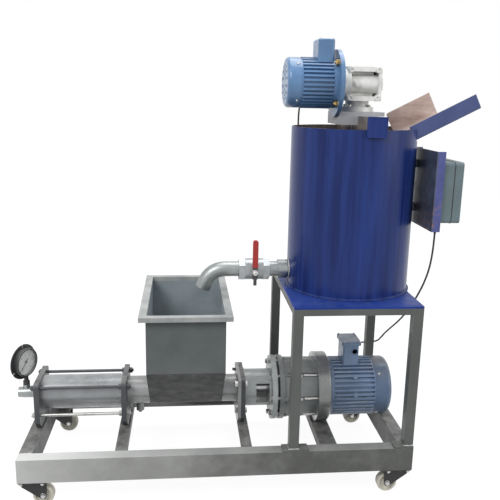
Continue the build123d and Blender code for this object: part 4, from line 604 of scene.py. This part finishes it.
def bead(mesh, corners, radius, closed=False, ripple=0.16, sides=8):
    """Adds a rippled weld bead, or with no ripple a plain cord of seal, along straight runs."""
    corners = [Vector(c) for c in corners]
    if closed:
        corners.append(corners[0])
    path = []
    for start, end in zip(corners, corners[1:]):
        steps = max(1, round((end - start).length / (radius * 1.1)))
        path += [start.lerp(end, i / steps) for i in range(steps)]
    if not closed:
        path.append(corners[-1])
    dice = random.Random(len(path))
    rings = []
    for i, here in enumerate(path):
        behind = path[i - 1] if i or closed else here
        ahead = path[(i + 1) % len(path)] if closed or i + 1 < len(path) else here
        turn = (ahead - behind).to_track_quat("Z", "Y").to_matrix()
        size = radius * (1 + ripple * (math.sin(2.1 * i) + dice.uniform(-0.7, 0.7)))
        ring = []
        for k in range(sides):
            angle = 2 * math.pi * k / sides
            point = here + turn @ Vector((size * math.cos(angle), size * math.sin(angle), 0))
            ring.append(mesh.verts.new(spot(*point)))
        rings.append(ring)
    pairs = list(zip(rings, rings[1:]))
    if closed:
        pairs.append((rings[-1], rings[0]))
    for low, high in pairs:
        for k in range(sides):
            m = (k + 1) % sides
            mesh.faces.new((low[k], low[m], high[m], high[k]))
    if not closed:
        mesh.faces.new(rings[0][::-1])
        mesh.faces.new(rings[-1])


def piece(name, material, draw, body="machine", sharp=0.6):
    """Makes one visible piece: draw adds its shapes to an empty mesh."""
    shapes = bmesh.new()
    draw(shapes)
    bmesh.ops.recalc_face_normals(shapes, faces=shapes.faces)
    for face in shapes.faces:
        face.smooth = True
    for edge in shapes.edges:
        edge.smooth = len(edge.link_faces) == 2 and edge.calc_face_angle(0.0) < sharp
    mesh = bpy.data.meshes.new(name)
    shapes.to_mesh(mesh)
    shapes.free()
    mesh.materials.append(MATERIALS[material])
    made = bpy.data.objects.new(name, mesh)
    bpy.context.scene.collection.objects.link(made)
    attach(made, body)
    return made


def around(count, radius, turn=0.0):
    """Places spaced evenly on a circle, as (across, up) pairs."""
    angles = [math.radians(turn + 360 * i / count) for i in range(count)]
    return [(radius * math.cos(a), radius * math.sin(a)) for a in angles]


# ---------------- pump train and drive ----------------
LANTERN_END = 178.0
SPIGOT_START = 194.0
REDUCER_START = 202.0
REDUCER_END = 327.0
MOTOR_END = 524.0
MOTOR_R = 98.0
RING_BOLT_R = 92.0
STUD_CIRCLE_R = 97.0
STUD_LENGTH = 46.0
BOSS_X = 453.0
BOSS_RISES = (60.0, 5.0)
BOX_X = (417.0, 470.0)
BOX_Y = (-42.0, 36.0)
BOX_LID_Z = 429.0
GLAND_HOLE = (456.0, -42.0, 395.0)


def draw_ring_bolts(mesh):
    """Bolts that hold the reducer's flange to the lantern, seen in the gap between them."""
    for y, z in around(8, RING_BOLT_R):
        hexagon(mesh, (LANTERN_END, y, PUMP_Z + z), (-1, 0, 0), 15.0, 7.0)
        lathe(mesh, [(4.5, 0), (4.5, REDUCER_START - SPIGOT_START)],
              (SPIGOT_START, y, PUMP_Z + z), (1, 0, 0), 20)


def draw_reducer_studs(mesh):
    """Long studs let into the reducer's barrel, each with a nut at its flange end."""
    for y, z in around(8, STUD_CIRCLE_R):
        place = (REDUCER_END, y, PUMP_Z + z)
        lathe(mesh, [(5.2, 2.0), (5.2, STUD_LENGTH - 2), (4.4, STUD_LENGTH)], place, (-1, 0, 0), 20)
        hexagon(mesh, (REDUCER_END - STUD_LENGTH - 4, y, PUMP_Z + z), (-1, 0, 0), 14.0, 8.0, washer=False)


def draw_cover_screws(mesh):
    for y, z in around(4, 97.0, 45.0):
        cap_screw(mesh, (MOTOR_END + 10, y, PUMP_Z + z), (0, y, z), 4.5)


def draw_motor_lugs(mesh):
    """Cast bosses on the barrel's side."""
    for up in BOSS_RISES:
        y = -math.sqrt(MOTOR_R ** 2 - up ** 2)
        lathe(mesh, [(8.5, -14), (8.0, -1), (7.0, 1.5), (3.6, 1.5), (3.4, -4)],
              (BOSS_X, y, PUMP_Z + up), (0, y, up), 24)


def draw_lid_screws(mesh):
    for x in BOX_X:
        for y in BOX_Y:
            cap_screw(mesh, (x, y, BOX_LID_Z), (0, 0, 1), 3.6)


def draw_gland_rim(mesh):
    """Rim of the open gland hole on the front of the terminal box."""
    lathe(mesh, [(9.0, 0), (12.0, 0), (12.0, 1.6), (11.2, 2.4), (9.4, 2.4), (9.0, 1.8)],
          GLAND_HOLE, (0, -1, 0), 32, closed=True)


piece("flange_ring_bolts", "zinc", draw_ring_bolts)
piece("reducer_studs", "zinc", draw_reducer_studs)
piece("pump_cover_screws", "zinc", draw_cover_screws)
piece("motor_side_bosses", "motor", draw_motor_lugs)
piece("terminal_lid_screws", "zinc", draw_lid_screws)
piece("gland_hole_rim", "motor", draw_gland_rim)


# ---------------- mixer drive ----------------
MIXER_BOLT_R = 82.0
MIXER_COVER_R = 73.0
MIXER_BOX_TOP = 1380.5
GEARBOX_TOP = 1305.0
GEARBOX_END_X = 478.0
LUG_X = (385.0, 467.0)
LUG_Z = (1215.0, 1296.0)
def draw_mixer_flange_bolts(mesh):
    for y, z in around(4, MIXER_BOLT_R, 45.0):
        hexagon(mesh, (MIXER_FACE_X - 12, WORM_Y + y, WORM_Z + z), (-1, 0, 0), 15.0, 8.0, stud=4.0)


def draw_mixer_screws(mesh):
    for y, z in around(4, MIXER_COVER_R, 45.0):
        cap_screw(mesh, (MIXER_FACE_X - 131, WORM_Y + y, WORM_Z + z), (0, y, z), 3.8)
    for x in (MIXER_FACE_X - 64, MIXER_FACE_X - 31):
        for y in (WORM_Y - 34, WORM_Y + 34):
            cap_screw(mesh, (x, y, MIXER_BOX_TOP), (0, 0, 1), 3.4)


def draw_gearbox_lugs(mesh):
    """Corner bosses with bolt holes on the gearbox's front and back faces."""
    for y, side in ((-80.0, -1), (56.0, 1)):
        for x in LUG_X:
            for z in LUG_Z:
                lathe(mesh, [(9.0, -10), (9.0, 2.4), (8.2, 3.2), (4.4, 3.2), (4.0, 2.4),
                             (4.0, -6)], (x, y, z), (0, side, 0), 24)


def draw_gearbox_plugs(mesh):
    """Oil plug, the worm's end cap with its screws and the wheel's top cap."""
    hexagon(mesh, (402.0, -86.0, WORM_Z), (0, -1, 0), 13.0, 4.0)
    lathe(mesh, [(26.0, -4), (26.0, 3), (24.5, 4.5), (8.0, 4.5), (7.0, 3.0)],
          (GEARBOX_END_X, WORM_Y, WORM_Z), (1, 0, 0), 36)
    for y, z in around(4, 20.0, 45.0):
        cap_screw(mesh, (GEARBOX_END_X + 4.4, WORM_Y + y, WORM_Z + z), (1, 0, 0), 3.2)
    lathe(mesh, [(24.0, -2), (24.0, 2), (22.5, 3.4), (15.0, 3.4)], (MIXER_SHAFT_X, 0.0, GEARBOX_TOP),
          (0, 0, 1), 36)


def draw_gearbox_foot_bolts(mesh):
    for x, y in around(4, 43.0, 45.0):
        hexagon(mesh, (MIXER_SHAFT_X + x, y, SADDLE_TOP + 14), (0, 0, 1), 10.0, 6.0)


piece("mixer_flange_bolts", "brass", draw_mixer_flange_bolts)
piece("mixer_small_screws", "zinc", draw_mixer_screws)
piece("gearbox_lugs", "aluminium", draw_gearbox_lugs)
piece("gearbox_plugs", "aluminium", draw_gearbox_plugs)
piece("gearbox_foot_bolts", "zinc", draw_gearbox_foot_bolts)


# ---------------- valve ----------------
def draw_valve_nuts(mesh):
    hexagon(mesh, (VALVE_X, -51.0, OUTLET_Z), (0, -1, 0), 15.0, 5.0, stud=5.0)


def draw_packing_nut(mesh):
    lathe(mesh, [(13.6, 0), (14.6, 1), (14.6, 8), (13.6, 9), (10.0, 9.0)],
          (VALVE_X, -33.0, OUTLET_Z), (0, -1, 0), 6)


piece("valve_stem_nut", "zinc", draw_valve_nuts, "valve")
piece("valve_packing_nut", "valve", draw_packing_nut)


# ---------------- gauge ----------------
DIAL_R = 41.5


def gauge_turn():
    """Places the dial's own frame, z out of the dial and y up."""
    facing = Vector((math.cos(GAUGE_TURN), math.sin(GAUGE_TURN), 0))
    across = Vector((-facing.y, facing.x, 0))
    turn = Matrix((across, Vector((0, 0, 1)), facing)).transposed().to_4x4()
    return Matrix.Translation(spot(GAUGE_X, 0, GAUGE_Z)) @ turn


def draw_dial(mesh):
    bmesh.ops.create_circle(mesh, cap_ends=True, segments=64, radius=DIAL_R / 1000,
                            matrix=gauge_turn() @ Matrix.Translation((0, 0, 0.00112)))


def draw_ticks(mesh):
    """Thirty-one marks over three quarters of a turn, every fifth one long."""
    for i in range(31):
        angle = math.radians(225 - 9 * i)
        inner = 31.0 if i % 5 == 0 else 34.5
        out = Vector((math.cos(angle), math.sin(angle), 0))
        side = Vector((-out.y, out.x, 0)) * (0.7 if i % 5 == 0 else 0.4)
        corners = [out * inner - side, out * 38.5 - side, out * 38.5 + side, out * inner + side]
        points = [gauge_turn() @ ((c + Vector((0, 0, 1.22))) / 1000) for c in corners]
        mesh.faces.new([mesh.verts.new(p) for p in points])


def draw_bezel(mesh):
    centre = Vector((GAUGE_X, 0, GAUGE_Z))
    facing = (math.cos(GAUGE_TURN), math.sin(GAUGE_TURN), 0)
    lathe(mesh, [(45.1, 4.0), (46.6, 5.0), (46.6, 9.4), (45.4, 11.2), (43.0, 11.2), (42.2, 9.8),
                 (42.2, 9.3), (45.1, 9.3)], centre, facing, 64, closed=True)


def make_number(text, angle):
    """One generic number of the dial's scale."""
    font = bpy.data.curves.new("dial_number_" + text, "FONT")
    font.body = text
    font.size = 0.0085
    font.align_x = "CENTER"
    font.align_y = "CENTER"
    font.materials.append(MATERIALS["pointer"])
    number = bpy.data.objects.new("dial_number_" + text, font)
    bpy.context.scene.collection.objects.link(number)
    reach = 0.025
    at = Matrix.Translation((reach * math.cos(angle), reach * math.sin(angle), 0.00125))
    number.matrix_world = gauge_turn() @ at
    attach(number, "machine")


piece("gauge_dial", "dial", draw_dial)
piece("gauge_ticks", "pointer", draw_ticks)
piece("gauge_bezel", "gauge_case", draw_bezel)
for step in range(7):
    make_number(str(step), math.radians(225 - 45 * step))


# ---------------- control box ----------------
COVER_Y = (-160.0, 16.0)
COVER_Z = (850.0, 1034.0)
SEAM_X = 695.0
BUTTON_PLACES = ((-72.0, 960.4), (-72.0, 920.4))


def draw_box_seal(mesh):
    """Seal squeezed between the two halves of the control box."""
    (y0, y1), (z0, z1), r = COVER_Y, COVER_Z, 10.0
    corners = []
    for cy, cz, start in ((y1 - r, z1 - r, 0), (y0 + r, z1 - r, 90), (y0 + r, z0 + r, 180),
                          (y1 - r, z0 + r, 270)):
        for step in range(5):
            angle = math.radians(start + 22.5 * step)
            corners.append((SEAM_X, cy + r * math.cos(angle), cz + r * math.sin(angle)))
    bead(mesh, corners, 1.3, closed=True, ripple=0.0)


def draw_box_screws(mesh):
    for y in (COVER_Y[0] + 11, COVER_Y[1] - 11):
        for z in (COVER_Z[0] + 11, COVER_Z[1] - 11):
            cap_screw(mesh, (COVER_FACE_X, y, z), (1, 0, 0), 4.2)


def draw_button_rims(mesh):
    for y, z in BUTTON_PLACES:
        lathe(mesh, [(11.8, 0), (16.0, 0), (16.0, 2.2), (14.8, 3.4), (12.2, 3.4), (11.8, 3.0)],
              (COVER_FACE_X, y, z), (1, 0, 0), 40, closed=True)


def draw_bracket_bolts(mesh):
    for y in (-150.0, 6.0):
        for z in (838.0, 1054.0):
            hexagon(mesh, (635.0, y, z), (1, 0, 0), 10.0, 4.5)


piece("control_box_seal", "black", draw_box_seal)
piece("control_cover_screws", "zinc", draw_box_screws)
piece("button_rims", "black", draw_button_rims)
piece("bracket_bolts", "zinc", draw_bracket_bolts)


# ---------------- glands ----------------
def draw_gland_nuts(mesh):
    """Locknut and dome of each gland."""
    for place, direction in GLANDS:
        lathe(mesh, [(11.4, 0.2), (12.4, 1.2), (12.4, 6.0), (11.4, 7.0)], place, direction, 6)
        lathe(mesh, [(9.3, 9.0), (11.6, 10.0), (11.6, 15.5), (10.2, 18.2), (7.6, 19.6)], place,
              direction, 12)


def draw_strain_reliefs(mesh):
    """Tapered sleeve where each lead leaves its gland."""
    for place, direction in GLANDS:
        rings = [(5.8, 17.0)]
        for i in range(6):
            height = 20.0 + 4.0 * i
            rings += [(5.6 - 0.36 * i, height), (5.6 - 0.36 * i, height + 2.6),
                      (4.8 - 0.30 * i, height + 2.8), (4.8 - 0.30 * i, height + 3.8)]
        lathe(mesh, rings, place, direction, 24)


GLANDS = (
    ((671.0, -102.0, 850.0), (0, 0, -1)),
    ((671.0, 16.0, 900.0), (0, 1, 0)),
    ((455.5, 36.0, 395.0), (0, 1, 0)),
    ((304.5, -4.0, 1350.5), (0, 1, 0)),
)
piece("gland_nuts", "black", draw_gland_nuts)
piece("strain_reliefs", "black", draw_strain_reliefs)


# ---------------- welds ----------------
LEG_X = ((210.0, 240.0), (570.0, 600.0))
LEG_Y = ((-251.0, -221.0), (221.0, 251.0))


def square(x0, x1, y0, y1, z):
    return [(x0, y0, z), (x1, y0, z), (x1, y1, z), (x0, y1, z)]


def draw_frame_welds(mesh):
    """Beads at the legs' feet, the end channels and the plates' feet."""
    for x0, x1 in LEG_X:
        for y0, y1 in LEG_Y:
            bead(mesh, square(x0, x1, y0, y1, RAIL_TOP + 5.5), 2.0, closed=True)
    for x0, x1 in ((-598.0, -562.0), (562.0, 598.0)):
        for y in (-218.0, 218.0):
            bead(mesh, [(x0, y, RAIL_TOP), (x1, y, RAIL_TOP)], 1.8)
    for x in (-308.0, -292.0, 76.0, 90.0):
        bead(mesh, [(x, -55.0, RAIL_TOP + 0.6), (x, 55.0, RAIL_TOP + 0.6)], 2.2)


def draw_tank_welds(mesh):
    """Beads round the tank's foot and the bridge bar's ends."""
    foot = [(TANK_X + x, y, TANK_LOW + 2.0) for x, y in around(96, TANK_R + 4.0)]
    bead(mesh, foot, 2.4, closed=True)
    reach = TANK_R + 8.0
    for side in (-1, 1):
        x0, x1 = BRIDGE_X - 28, BRIDGE_X + 28
        corners = [(x0, side * reach, 1106), (x1, side * reach, 1106), (x1, side * reach, 1162),
                   (x0, side * reach, 1162)]
        bead(mesh, corners, 1.7, closed=True)


def draw_socket_weld(mesh):
    ring = [(227.5, y, OUTLET_Z + z) for y, z in around(48, 31.0)]
    bead(mesh, ring, 2.4, closed=True)


piece("frame_welds", "weld", draw_frame_welds, sharp=1.4)
piece("tank_welds", "tank", draw_tank_welds, sharp=1.4)
piece("socket_weld", "weld", draw_socket_weld, sharp=1.4)


# ---------------- casters ----------------
CASTERS = {"front_left": (-1, -1), "front_right": (1, -1), "rear_left": (-1, 1),
           "rear_right": (1, 1)}


def caster_fittings(name, sx, sy):
    """Plate bolts, axle nuts and hub caps of one caster."""
    x, y, axle_x = sx * 560.0, sy * 225.0, sx * 530.0

    def draw_plate_bolts(mesh):
        for dx in (-31.0, 31.0):
            for dy in (-24.0, 24.0):
                hexagon(mesh, (x + dx, y + dy, 81.0), (0, 0, -1), 10.0, 5.0, stud=3.0)

    def draw_axle_nuts(mesh):
        for side in (-1, 1):
            hexagon(mesh, (axle_x, y + side * 15.5, 31.5), (0, side, 0), 13.0, 5.0)

    def draw_hub_caps(mesh):
        for side in (-1, 1):
            lathe(mesh, [(9.6, -1.0), (9.6, 0.2), (8.8, 0.6), (5.0, 0.6)],
                  (axle_x, y + side * 11.5, 31.5), (0, side, 0), 32)

    piece("plate_bolts_" + name, "zinc", draw_plate_bolts)
    piece("axle_nuts_" + name, "zinc", draw_axle_nuts, "fork_" + name)
    piece("hub_caps_" + name, "black", draw_hub_caps, "wheel_" + name)


for caster, signs in CASTERS.items():
    caster_fittings(caster, *signs)


# ---------------- softened edges ----------------
def soften(names, width):
    """Small bevels that catch the light along sheared and cast edges."""
    for name in names:
        bevel = NODES[name].modifiers.new("soft_edges", "BEVEL")
        bevel.width = width / 1000
        bevel.segments = 2
        bevel.limit_method = "ANGLE"
        bevel.angle_limit = math.radians(50)
        bevel.harden_normals = False


soften(["base_rails", "base_cross_members", "stand_legs", "pump_plates", "bridge_bar"], 1.2)
soften(["gearbox_saddle", "tank_table"], 0.8)


# ---------------- studio ----------------
def make_floor():
    """Pale floor that keeps the machine's shadow and joins the white behind it."""
    n = Nodes("floor_pale")
    n.plain(Roughness=0.9)
    out = n.tree.nodes["Material Output"]
    light = n.tree.nodes.new("ShaderNodeEmission")
    light.inputs["Strength"].default_value = 1.07
    path = n.tree.nodes.new("ShaderNodeLightPath")
    pale = n.mix(n.ramp(n.noise(3.0), 0.3, 0.7), (0.93, 0.93, 0.93), (0.95, 0.95, 0.95))
    n.colour(n.mix(path.outputs["Is Diffuse Ray"], pale, (0.22, 0.22, 0.21)))
    seen = n.maths("MAXIMUM", path.outputs["Is Camera Ray"], path.outputs["Is Glossy Ray"])
    seen = n.maths("MAXIMUM", seen, path.outputs["Is Transmission Ray"])
    blend = n.tree.nodes.new("ShaderNodeMixShader")
    n.link(n.maths("MULTIPLY", seen, 0.86), blend.inputs[0])
    n.link(n.shader.outputs[0], blend.inputs[1])
    n.link(light.outputs[0], blend.inputs[2])
    n.link(blend.outputs[0], out.inputs[0])
    mesh = bpy.data.meshes.new("floor")
    mesh.from_pydata([(-30, -30, 0), (30, -30, 0), (30, 30, 0), (-30, 30, 0)], [], [(0, 1, 2, 3)])
    mesh.materials.append(n.material)
    floor = bpy.data.objects.new("floor", mesh)
    bpy.context.scene.collection.objects.link(floor)


def make_world():
    world = bpy.data.worlds.new("studio")
    bpy.context.scene.world = world
    world.use_nodes = True
    tree = world.node_tree
    out = tree.nodes["World Output"]
    ambient = tree.nodes["Background"]
    ambient.inputs["Color"].default_value = (1.0, 1.0, 1.0, 1.0)
    ambient.inputs["Strength"].default_value = 0.68
    white = tree.nodes.new("ShaderNodeBackground")
    white.inputs["Strength"].default_value = 1.0
    white.inputs["Color"].default_value = (1.0, 1.0, 1.0, 1.0)
    path = tree.nodes.new("ShaderNodeLightPath")
    seen = path.outputs["Is Camera Ray"]
    for name in ("Is Glossy Ray", "Is Transmission Ray"):
        either = tree.nodes.new("ShaderNodeMath")
        either.operation = "MAXIMUM"
        tree.links.new(seen, either.inputs[0])
        tree.links.new(path.outputs[name], either.inputs[1])
        seen = either.outputs[0]
    blend = tree.nodes.new("ShaderNodeMixShader")
    tree.links.new(seen, blend.inputs[0])
    tree.links.new(ambient.outputs[0], blend.inputs[1])
    tree.links.new(white.outputs[0], blend.inputs[2])
    tree.links.new(blend.outputs[0], out.inputs[0])


def make_lamp(name, place, target, size, watts):
    data = bpy.data.lights.new(name, "AREA")
    data.shape = "SQUARE"
    data.size = size
    data.energy = watts
    lamp = bpy.data.objects.new(name, data)
    bpy.context.scene.collection.objects.link(lamp)
    lamp.location = place
    direction = Vector(target) - Vector(place)
    lamp.rotation_euler = direction.to_track_quat("-Z", "Y").to_euler()


make_floor()
make_world()
make_lamp("key", (-2.2, -2.6, 3.4), (0.0, 0.0, 0.6), 1.8, 98.0)
make_lamp("top", (0.6, 0.6, 3.8), (0.2, 0.0, 0.6), 2.4, 60.0)
make_lamp("fill", (3.2, -2.0, 1.8), (0.2, 0.0, 0.6), 2.0, 34.0)
bpy.context.scene.view_settings.view_transform = "Standard"
